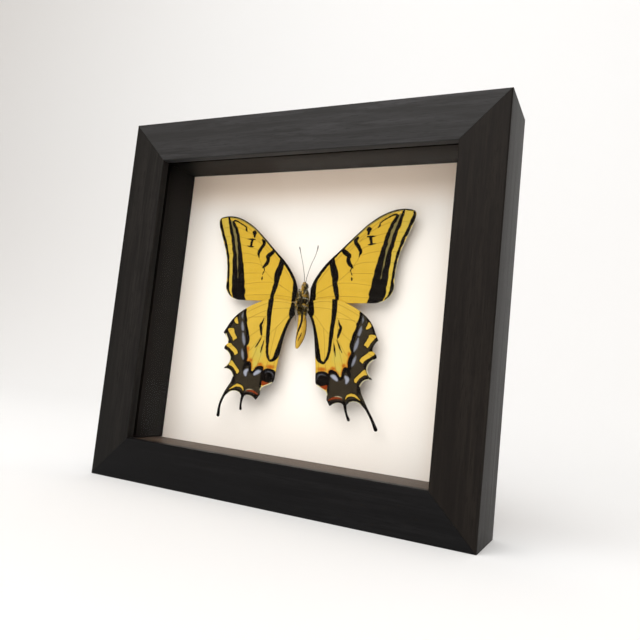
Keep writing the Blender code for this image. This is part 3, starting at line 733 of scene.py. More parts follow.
    hollows = union(
        margin_gap(p, [(41.6, -13.4), (39.9, -16.6)]) - 0.35,
        margin_gap(p, scallop((41.9, -21.0), (40.9, -31.1), 3.7, 9)) - 0.36,
        margin_gap(p, scallop((40.9, -31.1), (34.6, -36.4), 1.9, 6)) - 0.3,
        margin_gap(p, [(36.6, -43.4), (35.2, -42.5), (32.7, -42.1), (30.4, -42.8)]) - 0.28,
        margin_gap(p, [(26.4, -43.8), (24, -43.8), (22, -44.7)]) - 0.28,
        margin_gap(p, [(12.8, -36.5), (14.6, -37.5), (17.6, -39), (18.5, -40.3)]) - 0.5,
    )
    return {
        "dark_edge": dark,
        "dusk": dusk,
        "lilac": np.maximum.reduce([0.66 * soft(lilac + 0.1, 0.9), soft(painted_highlights, 0.9), 0.2 * soft(painted_sheen, 1.0)]),
        "lemon": lemon,
        "orange": orange,
        "red": np.maximum(soft(crescent, 0.3), soft(arc_red, 0.25) * 0.9),
        "fringe": np.maximum(soft(hollows, 0.16), soft(arc_cream, 0.2) * 0.8),
        "vein_gap": vein_gap(p, HIND_VEINS),
    }


MASKS = ("olive", "dusk", "lilac", "lemon", "orange", "red", "fringe")


def forewing_lift(p, veins):
    """How far the forewing stands forward, in mm: a raised leading edge, soft folds and vein ridges."""
    u, v = p.T
    leading = np.exp(-margin_gap(p, FORE_LEADING) / 2.2)
    across = np.clip((u - 6) / 30, 0, 1)
    folds = 0.08 * np.cos(v * 1.25 + u * 0.12) * across
    return 0.45 * leading + folds + VEIN_HEIGHT * np.exp(-((veins / VEIN_WIDTH) ** 2))


def hindwing_lift(p, veins):
    """How far the hindwing stands forward, in mm: lifted lobes and tails, fanned folds and vein ridges."""
    u, v = p.T
    out = np.clip((u - 6) / 34, 0, 1)
    down = np.clip((-v - 10) / 45, 0, 1)
    folds = 0.14 * np.cos(np.arctan2(u - 2, 6 - v) * 17) * np.clip(np.hypot(u - 4, v - 4) / 30 - 0.25, 0, 1)
    raised = 0.25 * out**2 * np.clip(-v / 10, 0, 1) + 0.35 * down**2
    return raised + folds + VEIN_HEIGHT * np.exp(-((veins / VEIN_WIDTH) ** 2))


def scale_grain(tree, place, across, drawn_out):
    """Noise as fine as the rows of scales, drawn out along the wing."""
    size = (1 / (across * MM), 1 / (across * MM), 1 / (across * drawn_out * MM))
    spread = add(tree, "Mapping", {"Vector": place, "Scale": size})
    return add(tree, "TexNoise", {"Vector": spread, "Scale": 1.0, "Detail": 2.0, "Roughness": 0.6})


def dried_wing_scales(name, ground, shaded):
    """Overlapping scales, each of one colour. A mark's edge lies where its distance is nought, broken by a
    scale or two, and a dusting thins out as single scales. A little light comes through the sheet."""
    made, tree, shader = new_material(name, Specular_IOR_Level=0.05)
    place = add(tree, "TexCoord", output="Object")
    fine = scale_grain(tree, place, 0.32, 1.6)
    patchy = scale_grain(tree, place, 1.3, 1.0)
    broad = scale_grain(tree, place, 5.0, 1.3)
    ragged = add(tree, "Math", {0: fine, 1: -0.5}, operation="ADD")
    uneven = add(tree, "Math", {0: patchy, 1: 1.6, 2: -0.8}, operation="MULTIPLY_ADD")
    wander = add(tree, "Math", {0: ragged, 1: 0.45, 2: uneven}, operation="MULTIPLY_ADD")

    # A stored weight is broken up by the scales, so that its colour thins out as a dusting.
    masks = {}
    for key in MASKS:
        stored = add(tree, "Attribute", output=2, attribute_name=key)
        shaken = add(tree, "Math", {0: ragged, 1: 0.55, 2: stored}, operation="MULTIPLY_ADD")
        bound = add(
            tree, "MapRange",
            {"Value": shaken, "From Min": 0.22, "From Max": 0.78},
            interpolation_type="SMOOTHSTEP",
        )
        join = "MINIMUM" if key == "dusk" else "MULTIPLY"
        masks[key] = add(tree, "Math", {0: bound, 1: stored}, operation=join)

    edge = add(tree, "Attribute", output=2, attribute_name="dark_edge")
    shaken = add(tree, "Math", {0: wander, 1: 0.42, 2: edge}, operation="MULTIPLY_ADD")
    dark = add(
        tree, "MapRange",
        {"Value": shaken, "From Min": SCALE_SPREAD + 0.13, "From Max": SCALE_SPREAD - 0.13},
        interpolation_type="SMOOTHSTEP",
    )
    ribs = add(tree, "Attribute", output=2, attribute_name="vein_gap")
    rib_line = add(
        tree, "MapRange",
        {"Value": ribs, "From Min": 0.24, "From Max": 0.04, "To Max": 0.5},
        interpolation_type="SMOOTHSTEP",
    )
    flecked = add(tree, "MapRange", {"Value": fine, "From Min": 0.35, "From Max": 0.8, "To Max": 0.28})
    shown = add(tree, "Mix", {0: broad, 6: colour(ground), 7: colour(shaded)}, output=2, data_type="RGBA")
    # The lilac layer carries the real lilac lunules and, on the hindwing, the painted highlights and painted
    # sheen.
    layers = (
        ("#B98F2C", flecked), ("#CDBB55", masks["lemon"]), ("#857848", masks["olive"]),
        ("#BC6614", masks["orange"]), ("#6E4A16", rib_line), ("#0B0604", dark), ("#342D22", masks["dusk"]),
        ("#A9ADBE", masks["lilac"]), ("#8E3711", masks["red"]), ("#E6DDB4", masks["fringe"]),
    )
    for code, weight in layers:
        shown = add(tree, "Mix", {0: weight, 6: shown, 7: colour(code)}, output=2, data_type="RGBA")
    tree.links.new(shown, shader.inputs["Base Color"])
    rough = add(tree, "MapRange", {"Value": dark, "To Min": 0.64, "To Max": 0.5})
    tree.links.new(rough, shader.inputs["Roughness"])
    bump = add(tree, "Bump", {"Height": fine, "Strength": 0.5, "Distance": 0.03 * MM})
    tree.links.new(bump, shader.inputs["Normal"])
    glow = add(tree, "BsdfTranslucent", {"Color": shown})
    sheet = add(tree, "MixShader", {0: 0.15, 1: shader.outputs[0], 2: glow})
    tree.links.new(sheet, tree.nodes["Material Output"].inputs["Surface"])
    return made


# The scales are about 0.1 mm long, too fine to show, so they are drawn three times as coarse.
forewing_scales = dried_wing_scales("dried_forewing_scales", "#DFB940", "#D6AE37")
hindwing_scales = dried_wing_scales("dried_hindwing_scales", "#DFBC4A", "#D6B03F")


def store(thing, key, values):
    """Keeps one number at each point of a piece for its material to read."""
    made = thing.data.attributes.new(key, "FLOAT", "POINT")
    made.data.foreach_set("value", np.ravel(values).astype(np.float32))


def add_wing(name, edge, paint, lift, side, y, material, turn=0.0, lean=0.0, drop=0.0):
    """One wing: its sheet is lifted, turned and leant about its root, mirrored to its side and thickened.

    turn is in the wing's own plane and lean brings its outer edge forward, in degrees; drop is in mm.
    """
    flat, faces = wing_grid(edge)
    marks = paint(flat)
    raised = lift(flat, marks["vein_gap"])
    spin, tip = np.radians([turn, lean])
    u, v = ((flat - WING_ROOT) @ np.array([[np.cos(spin), np.sin(spin)], [-np.sin(spin), np.cos(spin)]])).T
    out = WING_ROOT[0] + u * np.cos(tip) - raised * np.sin(tip)
    ahead = u * np.sin(tip) + raised * np.cos(tip)
    points = np.column_stack([
        SPECIMEN_X + side * out * MM, y - ahead * MM, SPECIMEN_Z + (v + WING_ROOT[1] - drop) * MM
    ])
    wing = add_mesh(name, points, faces if side > 0 else [face[::-1] for face in faces], material, 60)
    for key in (*MASKS, "dark_edge", "vein_gap"):
        store(wing, key, marks.get(key, np.zeros(len(flat))))
    sheet = wing.modifiers.new("membrane", "SOLIDIFY")
    sheet.thickness = WING_THICK
    sheet.offset = -1.0
    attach(wing, "root")
    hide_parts(name.removesuffix("_membrane"))


for side, name, turn in ((1, "right", 0.0), (-1, "left", -2.4)):
    add_wing(
        f"forewing_{name}_membrane", forewing_edge(), paint_forewing, forewing_lift, side, FOREWING_Y,
        forewing_scales, turn,
    )
add_wing(
    "hindwing_right_membrane", hindwing_edge(0.0, 0.0), paint_hindwing, hindwing_lift, 1, HINDWING_Y,
    hindwing_scales,
)
add_wing(
    "hindwing_left_membrane", hindwing_edge(2.6, 1.2), paint_hindwing, hindwing_lift, -1, HINDWING_Y,
    hindwing_scales, turn=-0.9, lean=3.4, drop=1.1,
)


# ---------------------------------------------------------------------------------------------------
# Body: a dried head, thorax and abdomen of thin horny plates under scales and fur. It is glued by its
# back to a cork pad, belly forwards, with the abdomen sagging to the left.
# ---------------------------------------------------------------------------------------------------

BODY_Y = (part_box("body")[0].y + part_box("body")[1].y) / 2 + 0.4 * MM
BODY_SIDES = 48
SEGMENT_LENGTH = 2.15
WAIST = -2.4
DEGREES_PER_MM = 26

# Stations from the head down: height, shift to the right, half width, half depth, shift forward, in mm.
BODY_STATIONS = [
    (13.3, 1, 0.45, 0.5, 0.4), (12.6, 1, 1.25, 1.3, 0.4), (11.3, 0.9, 1.65, 1.55, 0.4),
    (10.1, 0.7, 1.3, 1.3, 0.2), (8.8, 0.5, 2.15, 2.3, 0.3), (6.4, 0.4, 2.75, 3.1, 0.4),
    (3, 0.4, 2.85, 3.2, 0.4), (0.2, 0.6, 2.5, 2.7, 0.3), (-2.4, 0.8, 1.85, 1.85, 0),
    (-5, 1.1, 2.15, 2.15, -0.2), (-8.5, 1.3, 2.35, 2.35, -0.3), (-12, 1.1, 2.35, 2.25, -0.4),
    (-15.5, 0.5, 1.95, 1.75, -0.5), (-18.4, -0.2, 1.1, 1, -0.5), (-19.6, -0.5, 0.4, 0.4, -0.5),
]


def body_surface(v, angle, proud=0.0):
    """Points on the body in mm from the specimen's middle: an ellipse at each height, pinched between the
    abdomen's segments and swollen where the legs join; the angle runs from the right round by the front."""
    stations = curve_through(BODY_STATIONS, 8)[::-1]
    heights, *columns = stations.T
    shift, half_width, half_depth, forward = (np.interp(v, heights, column) for column in columns)
    phase = ((WAIST - v) / SEGMENT_LENGTH) % 1.0
    pinch = np.where(v < WAIST, 0.05 * np.exp(-((np.minimum(phase, 1 - phase) / 0.13) ** 2)), 0.0)
    swell = 0.0
    for height in (8.0, 4.9, 1.6):
        for side in (62, 118):
            near = ((v - height) / 1.0) ** 2 + ((np.degrees(angle) - side) / 22) ** 2
            swell = swell + 0.5 * np.exp(-near)
    grown = 1 - pinch
    u = shift + (half_width * grown + swell + proud) * np.cos(angle)
    ahead = forward + (half_depth * grown + swell + proud) * np.sin(angle)
    return np.stack([u, v + 0 * u, ahead], -1)


def in_place(spots, y=BODY_Y):
    """From (right, up, forward) in mm about the specimen's middle to metres in the frame's space."""
    right, above, ahead = np.moveaxis(np.asarray(spots, float), -1, 0)
    return np.stack([SPECIMEN_X + right * MM, y - ahead * MM, SPECIMEN_Z + above * MM], -1)


def yellow_fur(u, v):
    """1 on the yellow scaled places of the head and thorax, by where they lie from the front."""
    spots = (
        ((0.3, 12.7), (1.6, 1.1)), ((-0.1, 10.4), (1.3, 1.9)), ((-1.7, 0.9), (1.3, 2)),
        ((-1.9, 3.8), (0.8, 1.1)), ((2.2, 6.6), (1, 0.8)), ((1.3, 8.2), (0.6, 0.6)),
        ((0, 5.4), (0.9, 0.4)), ((2.6, 1.8), (0.8, 1)),
    )
    places = np.stack([u, v], -1)
    return np.minimum(sum(spot(places.reshape(-1, 2), *one) for one in spots), 1.0).reshape(np.shape(u))


def scaled_cuticle(name):
    """Short flat scales on horny plates: yellow, with dark lines broken where scales have rubbed off."""
    made, tree, shader = new_material(name, Roughness=0.6, Specular_IOR_Level=0.1)
    place = add(tree, "TexCoord", output="Object")
    grain = add(tree, "TexNoise", {"Vector": place, "Scale": 1 / (0.45 * MM), "Detail": 3.0})
    blotch = add(tree, "TexNoise", {"Vector": place, "Scale": 1 / (2.4 * MM), "Detail": 2.0})
    dark = add(tree, "Attribute", output=2, attribute_name="dark")
    shaken = add(tree, "Math", {0: grain, 1: 0.9, 2: dark}, operation="MULTIPLY_ADD")
    mark = add(
        tree, "MapRange",
        {"Value": shaken, "From Min": 0.78, "From Max": 1.02},
        interpolation_type="SMOOTHSTEP",
    )
    tone = add(
        tree, "Mix", {0: blotch, 6: colour("#B98A24"), 7: colour("#D9B54C")}, output=2, data_type="RGBA"
    )
    shown = add(tree, "Mix", {0: mark, 6: tone, 7: colour("#0C0805")}, output=2, data_type="RGBA")
    tree.links.new(shown, shader.inputs["Base Color"])
    bump = add(tree, "Bump", {"Height": grain, "Strength": 0.7, "Distance": 0.09 * MM})
    tree.links.new(bump, shader.inputs["Normal"])
    return made


v = curve_through(BODY_STATIONS, 10)[:, 0]
angle = np.arange(BODY_SIDES) * 2 * np.pi / BODY_SIDES
rings, turns = np.meshgrid(v, angle, indexing="ij")
skin = body_surface(rings, turns)
body = add_mesh(
    "head_thorax_and_abdomen", in_place(skin).reshape(-1, 3), tube_faces(len(v), BODY_SIDES),
    scaled_cuticle("scaled_butterfly_cuticle"), 70,
)
# The dark lines are drawn on the skin unrolled flat, in mm: round from near the front, and up.
around = (np.degrees(turns) - 64 + 180) % 360 - 180
belly = np.stack([around, rings * DEGREES_PER_MM], -1).reshape(-1, 2) / DEGREES_PER_MM
lines = union(
    stroke(belly, [
        (0.1, -1, 0.9), (0.1, -3.6, 0.62), (0.4, -6.6, 0.52), (1.2, -9.6, 0.5), (2, -12.4, 0.44),
        (2.6, -15.2, 0.4), (2.8, -17.8, 0.22),
    ]),
    stroke(belly, [(-0.3, -11, 0.05), (0, -13, 0.24), (0.5, -14.8, 0.22), (0.9, -16.4, 0.04)]),
    stroke(belly, [(-2.4, -2, 0.3), (-2.6, -8, 0.28), (-2.4, -14, 0.22), (-2, -18, 0.1)]),
)
back = np.abs((np.degrees(turns) + 90 + 180) % 360 - 180).ravel() / DEGREES_PER_MM - 2.0
dark_abdomen = np.maximum(soft(lines, 0.25), soft(back, 0.4))
dark_front = 1 - yellow_fur(skin[..., 0], skin[..., 1]).ravel()
store(body, "dark", np.where(rings.ravel() < -1.2, dark_abdomen, dark_front))
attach(body, "root")
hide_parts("body")


# ---------------------------------------------------------------------------------------------------
# Eyes, palps and tongue: two round compound eyes of tiny facets, a pair of furry palps, and the tongue
# rolled up between them.
# ---------------------------------------------------------------------------------------------------


def dark_chitin(name, ground, bloom, rough, facet):
    """Hard dark horn: a clear surface over near-black, with a paler bloom of worn hairs in patches."""
    made, tree, shader = new_material(name, Roughness=rough, IOR=1.55, Coat_Weight=0.25, Coat_Roughness=0.2)
    place = add(tree, "TexCoord", output="Object")
    patches = add(tree, "TexNoise", {"Vector": place, "Scale": 1 / (0.9 * MM), "Detail": 3.0})
    worn = add(tree, "MapRange", {"Value": patches, "From Min": 0.48, "From Max": 0.66, "To Max": 0.85})
    shown = add(tree, "Mix", {0: worn, 6: colour(ground), 7: colour(bloom)}, output=2, data_type="RGBA")
    tree.links.new(shown, shader.inputs["Base Color"])
    cells = add(tree, "TexVoronoi", {"Vector": place, "Scale": 1 / (facet * MM)})
    bump = add(tree, "Bump", {"Height": cells, "Strength": 0.4, "Distance": 0.03 * MM}, invert=True)
    tree.links.new(bump, shader.inputs["Normal"])
    return made


def swept(route, radius, sides=8):
    """A round tube: at each point of a route, a ring of the given radius square to the way it runs."""
    route = np.asarray(route, float)
    way = np.gradient(route, axis=0)
    way /= np.linalg.norm(way, axis=1)[:, None]
    hint = np.eye(3)[np.abs(way).sum(0).argmin()]
    side = np.cross(way, hint)
    side /= np.linalg.norm(side, axis=1)[:, None]
    other = np.cross(way, side)
    a = (np.arange(sides) * 2 * np.pi / sides)[None, :, None]
    around = np.cos(a) * side[:, None] + np.sin(a) * other[:, None]
    return (route[:, None] + np.asarray(radius)[:, None, None] * around).reshape(-1, 3)


def insect_part(name, points, faces, material, *nodes):
    """Adds one piece of the insect from points in (right, up, forward) mm, and says what it stands for."""
    piece = add_mesh(name, in_place(points), faces, material, 60)
    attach(piece, "root")
    if nodes:
        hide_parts(*nodes)
    return piece


# Facets are about 0.03 mm across, too fine to show, so they are drawn four times as coarse.
eye_horn = dark_chitin("faceted_eye_horn", "#0B0908", "#1D1611", 0.22, 0.13)
palp_horn = dark_chitin("haired_palp_horn", "#8A6A22", "#C9A23C", 0.6, 0.2)
leg_horn = dark_chitin("black_leg_chitin", "#17120C", "#C2B48C", 0.5, 0.25)
stalk_horn = dark_chitin("black_antenna_chitin", "#0F0D0C", "#2B2724", 0.45, 0.2)

HEAD_X = 0.98
latitude, longitude = np.radians(np.meshgrid(np.linspace(4, 176, 22), np.arange(0, 360, 12), indexing="ij"))
for side, name in ((-1, "left"), (1, "right")):
    ball = np.stack([
        HEAD_X + side * (0.95 + 0.8 * np.sin(latitude) * np.cos(longitude) * side),
        11.55 + 1.02 * np.cos(latitude),
        0.75 + 0.95 * np.sin(latitude) * np.sin(longitude),
    ], -1)
    insect_part(f"compound_eye_{name}", ball.reshape(-1, 3), tube_faces(*latitude.shape), eye_horn, "body")
    t = np.linspace(0, 1, 16)
    palp = np.stack([
        HEAD_X + side * (0.42 - 0.1 * t), 11.3 + 2.3 * t, 1.75 + 0.75 * np.sin(2.6 * t) - 0.9 * t,
    ], 1)
    thick = 0.34 * np.sqrt(np.clip(1 - (2 * t - 0.85) ** 2 / 1.6, 0.03, 1))
    insect_part(f"palp_{name}", swept(palp, thick, 12), tube_faces(16, 12), palp_horn, "body")

t = np.linspace(0, 1, 90)
roll = 0.62 * (1 - 0.72 * t)
coils = 2 * np.pi * 2.6 * t + 2.6
tongue = np.stack([HEAD_X + 0.05 * t, 11.75 + roll * np.cos(coils), 2.35 + roll * np.sin(coils)], 1)
insect_part("rolled_tongue", swept(tongue, 0.085 * (1.1 - 0.5 * t)), tube_faces(90, 8), leg_horn, "body")


# ---------------------------------------------------------------------------------------------------
# Antennae: two stalks of many short joints, each joint a little wider at its top, ending in a club.
# ---------------------------------------------------------------------------------------------------

JOINT_LENGTH = 0.42
for name, route in {
    "left": [(0.7, 13.1), (0.55, 14.6), (0.1, 17.5), (-1.3, 22.5), (-3, 27.5), (-4.1, 30.6), (-4.3, 31.6)],
    "right": [(1.5, 13.1), (1.6, 14.6), (2.1, 17.5), (3.4, 22.5), (5.1, 27), (5.9, 31), (5.8, 32.3)],
}.items():
    line = curve_through(route, 30)
    gone = np.concatenate([[0], np.cumsum(np.linalg.norm(np.diff(line, axis=0), axis=1))])
    ahead = 1.2 - 0.03 * (line[:, 1] - 13)
    left_over = gone[-1] - gone
    club = 0.13 * np.exp(-(((left_over - 1.3) / 1.5) ** 2))
    joint = 1 + 0.16 * (gone / JOINT_LENGTH % 1.0)
    thick = (0.125 - 0.02 * np.exp(-left_over / 14) + club) * joint * np.clip(left_over / 0.25 + 0.15, 0.1, 1)
    insect_part(
        f"jointed_antenna_{name}", swept(np.column_stack([line, ahead]), thick, 10),
        tube_faces(len(line), 10), stalk_horn, f"antenna_{name}",
    )


# ---------------------------------------------------------------------------------------------------
# Legs: three pairs folded over the thorax, each with a stout thigh, a spined shin and a foot of five
# short joints. They dried where they lay.
# ---------------------------------------------------------------------------------------------------

HAIR_POINTS = 7


def tapered_hairs(root, way, length, thick, droop):
    """Hairs of three sides: a ring at the root, a narrower one half way that droops, and a pointed tip."""
    way = way / np.linalg.norm(way, axis=1)[:, None]
    hint = np.where(np.abs(way[:, 2:]) < 0.9, [[0.0, 0.0, 1.0]], [[1.0, 0.0, 0.0]])
    side = np.cross(way, hint)
    side /= np.linalg.norm(side, axis=1)[:, None]
    other = np.cross(way, side)
    a = (np.arange(3) * 2 * np.pi / 3)[None, :, None]
    ring = (np.cos(a) * side[:, None] + np.sin(a) * other[:, None]) * thick[:, None, None]
    bent = root + way * length[:, None] * 0.55 + droop * 0.3
    tip = root + way * length[:, None] + droop
    points = np.concatenate([root[:, None] + ring, bent[:, None] + ring * 0.75, tip[:, None]], 1)
    first = (np.arange(len(root)) * HAIR_POINTS)[:, None, None]
    k = np.arange(3)
    m = (k + 1) % 3
    quads = (first + np.stack([k, m, m + 3, k + 3], -1)).reshape(-1, 4)
    points_at_tip = (first + np.stack([k + 3, m + 3, np.full(3, 6)], -1)).reshape(-1, 3)
    foot = (first[:, 0] + np.array([2, 1, 0])).reshape(-1, 3)
    return points.reshape(-1, 3), quads.tolist() + points_at_tip.tolist() + foot.tolist()


random = np.random.default_rng(19)
LEG_ROUTES = {
    "fore": [(0.5, 8.2, 3.1), (2.3, 9.4, 3.2), (1.1, 5.9, 4.4), (0.7, 3.4, 4.6)],
    "mid": [(0.6, 5.2, 4.2), (3.4, 4.6, 3.1), (2.5, 1, 3.7), (1.7, -1.9, 3.9)],
    "hind": [(0.6, 1.6, 4.1), (3.5, 0.2, 2.6), (2.9, -3.6, 3), (2.4, -6.2, 3.3)],
}
spine_roots, spine_ways = [], []
for pair, route in LEG_ROUTES.items():
    for side, name in ((-1, "left"), (1, "right")):
        line = curve_through(route, 22)
        line[:, 0] = 1.5 + side * line[:, 0]
        t = np.linspace(0, 1, len(line))
        thick = np.interp(t, [0, 0.12, 0.3, 0.36, 0.62, 0.68, 1], [0.3, 0.34, 0.24, 0.2, 0.14, 0.1, 0.07])
        knee = 0.07 * np.exp(-(((t - 1 / 3) / 0.025) ** 2)) + 0.05 * np.exp(-(((t - 2 / 3) / 0.02) ** 2))
        foot = np.where(t > 0.68, 0.035 * ((t - 0.68) / 0.064 % 1.0), 0.0)
        insect_part(
            f"jointed_leg_{pair}_{name}", swept(line, thick + knee + foot, 10), tube_faces(len(line), 10),
            leg_horn, f"leg_{pair}_{name}",
        )
        at = random.integers(int(len(line) * 0.36), len(line) - 2, 22)
        away = random.normal(size=(22, 3))
        spine_roots.append(line[at])
        spine_ways.append(away + 1.2 * (line[at + 1] - line[at]) / 0.1)
roots, ways = np.vstack(spine_roots), np.vstack(spine_ways)
length = random.uniform(0.35, 0.7, len(roots))
points, faces = tapered_hairs(roots, ways, length, np.full(len(roots), 0.035), 0.0)
insect_part("leg_spines", points, faces, leg_horn)


# ---------------------------------------------------------------------------------------------------
# Fur: soft hairs on the head, thorax and wing roots, yellow over the palps and sides and black between.
# Real ones are a fiftieth of a millimetre thick; these are drawn three times as stout so that they show.
# ---------------------------------------------------------------------------------------------------

HAIRS = 5200
height = random.uniform(-2.6, 13.2, HAIRS)
bearing = np.radians(random.uniform(-30, 210, HAIRS))
root = body_surface(height, bearing, -0.1)
outside = body_surface(height, bearing, 1.0)
way = (outside - root) / np.linalg.norm(outside - root, axis=1)[:, None]
way = way * 0.9 + random.normal(0, 0.28, (HAIRS, 3)) + np.array([0.0, -0.55, 0.0])
length = random.uniform(0.45, 1.15, HAIRS) * np.where(height > 10.2, 0.5, 1.0)
thick = random.uniform(0.028, 0.045, HAIRS)
points, faces = tapered_hairs(root, way, length, thick, np.array([0.0, -0.25, 0.0]))
fur_material, tree, shader = new_material("soft_thorax_hair", Roughness=0.6, Specular_IOR_Level=0.2)
tone = add(tree, "Attribute", output=2, attribute_name="tone")
low = add(tree, "MapRange", {"Value": tone, "From Min": 0.2, "From Max": 0.5})
high = add(tree, "MapRange", {"Value": tone, "From Min": 0.7, "From Max": 1.0})
shown = add(tree, "Mix", {0: low, 6: colour("#0A0705"), 7: colour("#D9AE3A")}, output=2, data_type="RGBA")
shown = add(tree, "Mix", {0: high, 6: shown, 7: colour("#DDD2AC")}, output=2, data_type="RGBA")
tree.links.new(shown, shader.inputs["Base Color"])
fur = insect_part("thorax_fur", points, faces, fur_material, "body")
yellow = yellow_fur(root[:, 0], root[:, 1])
picked = random.uniform(0, 1, HAIRS)
pale = random.uniform(0.5, 0.9, HAIRS)
black = random.uniform(0.0, 0.3, HAIRS)
tones = np.where(picked < 0.05 + 0.85 * yellow, pale, black)
store(fur, "tone", np.repeat(tones, HAIR_POINTS))


# ---------------------------------------------------------------------------------------------------
# Pad: a plug of fine cork between the board and the back of the thorax, glued at both ends.
# ---------------------------------------------------------------------------------------------------

cork, tree, shader = new_material("fine_cork", Roughness=0.85, Specular_IOR_Level=0.2)
place = add(tree, "TexCoord", output="Object")
granules = add(tree, "TexVoronoi", {"Vector": place, "Scale": 1 / (0.8 * MM)}, output=1)
grey = add(tree, "SeparateColor", {0: granules})
shown = add(tree, "Mix", {0: grey, 6: colour("#8A6238"), 7: colour("#C79B66")}, output=2, data_type="RGBA")
tree.links.new(shown, shader.inputs["Base Color"])
pits = add(tree, "TexVoronoi", {"Vector": place, "Scale": 1 / (0.8 * MM)})
bump = add(tree, "Bump", {"Height": pits, "Strength": 0.6, "Distance": 0.15 * MM}, invert=True)
tree.links.new(bump, shader.inputs["Normal"])
dress("pad", cork)


# ---------------------------------------------------------------------------------------------------
# Backing: a sheet of brown hardboard, smooth face in, with the print of the wire screen it was pressed
# on showing outwards. Bent steel points driven into the rails hold it in.
# ---------------------------------------------------------------------------------------------------

SCREEN_PITCH = 1.4 * MM

hardboard, tree, shader = new_material("screen_pressed_hardboard", Roughness=0.75, Specular_IOR_Level=0.25)
place = add(tree, "TexCoord", output="Object")
fibres_place = add(tree, "Mapping", {"Vector": place, "Scale": (1 / (4 * MM), 1 / MM, 1 / (0.7 * MM))})
fibres = add(tree, "TexNoise", {"Vector": fibres_place, "Scale": 1.0, "Detail": 5.0, "Distortion": 1.5})
flakes = add(tree, "TexNoise", {"Vector": place, "Scale": 1 / (5 * MM), "Detail": 4.0})
blend = add(tree, "Math", {0: fibres, 1: flakes}, operation="MULTIPLY")
depth = add(tree, "MapRange", {"Value": blend, "From Min": 0.12, "From Max": 0.42})
shown = add(tree, "Mix", {0: depth, 6: colour("#5F402A"), 7: colour("#85603F")}, output=2, data_type="RGBA")
tree.links.new(shown, shader.inputs["Base Color"])
wires = []
for axis in (0, 2):
    part = add(tree, "SeparateXYZ", {0: place}, output=axis)
    phase = add(tree, "Math", {0: part, 1: 2 * np.pi / SCREEN_PITCH}, operation="MULTIPLY")
    wires.append(add(tree, "Math", {0: phase}, operation="SINE"))
print_height = add(tree, "Math", {0: wires[0], 1: wires[1]}, operation="MULTIPLY")
rough_print = add(tree, "Math", {0: fibres, 1: 1.2, 2: print_height}, operation="MULTIPLY_ADD")
bump = add(tree, "Bump", {"Height": rough_print, "Strength": 0.5, "Distance": 0.12 * MM})
tree.links.new(bump, shader.inputs["Normal"])
dress("backing", hardboard)


def plated_metal(name, bright, dull, along, rough):
    """Thin plating over pressed metal: fine rolling lines along one axis and clouds of handling marks."""
    made, tree, shader = new_material(name, Metallic=1.0)
    place = add(tree, "TexCoord", output="Object")
    size = [1 / (0.12 * MM)] * 3
    size[along] = 1 / (6 * MM)
    drawn = add(tree, "Mapping", {"Vector": place, "Scale": size})
    lines = add(tree, "TexNoise", {"Vector": drawn, "Scale": 1.0, "Detail": 3.0})
    clouds = add(tree, "TexNoise", {"Vector": place, "Scale": 1 / (5 * MM), "Detail": 4.0})
    dulled = add(tree, "MapRange", {"Value": clouds, "From Min": 0.35, "From Max": 0.8})
    shown = add(tree, "Mix", {0: dulled, 6: colour(bright), 7: colour(dull)}, output=2, data_type="RGBA")
    tree.links.new(shown, shader.inputs["Base Color"])
    satin = add(tree, "MapRange", {"Value": clouds, "To Min": rough - 0.08, "To Max": rough + 0.15})
    tree.links.new(satin, shader.inputs["Roughness"])
    bump = add(tree, "Bump", {"Height": lines, "Strength": 0.3, "Distance": 0.02 * MM})
    tree.links.new(bump, shader.inputs["Normal"])
    return made


zinc_across = plated_metal("zinc_plated_point_across", "#B9BCBF", "#8D9093", 0, 0.35)
zinc_upright = plated_metal("zinc_plated_point_upright", "#B9BCBF", "#8D9093", 2, 0.35)
for number in ("1", "2"):
    for side in ("top", "bottom"):
        dress(f"point_{side}_{number}", zinc_upright)
    for side in ("left", "right"):
        dress(f"point_{side}_{number}", zinc_across)


# ---------------------------------------------------------------------------------------------------
# Hanger: a sawtooth strip pressed from brass-plated steel, its toothed middle raised off the rail so a
# wall nail can catch it, and two domed nails through its ears.
# ---------------------------------------------------------------------------------------------------

HANGER_LOW, HANGER_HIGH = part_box("hanger")
HANGER_THICK = 0.7 * MM
HANGER_RISE = HANGER_HIGH.y - HANGER_LOW.y - HANGER_THICK
HANGER_EAR = 7.0 * MM
HANGER_BEND = 1.6 * MM
HANGER_TEETH = 11
TOOTH_DEPTH = 1.6 * MM
EDGE_ROUND = 0.15 * MM


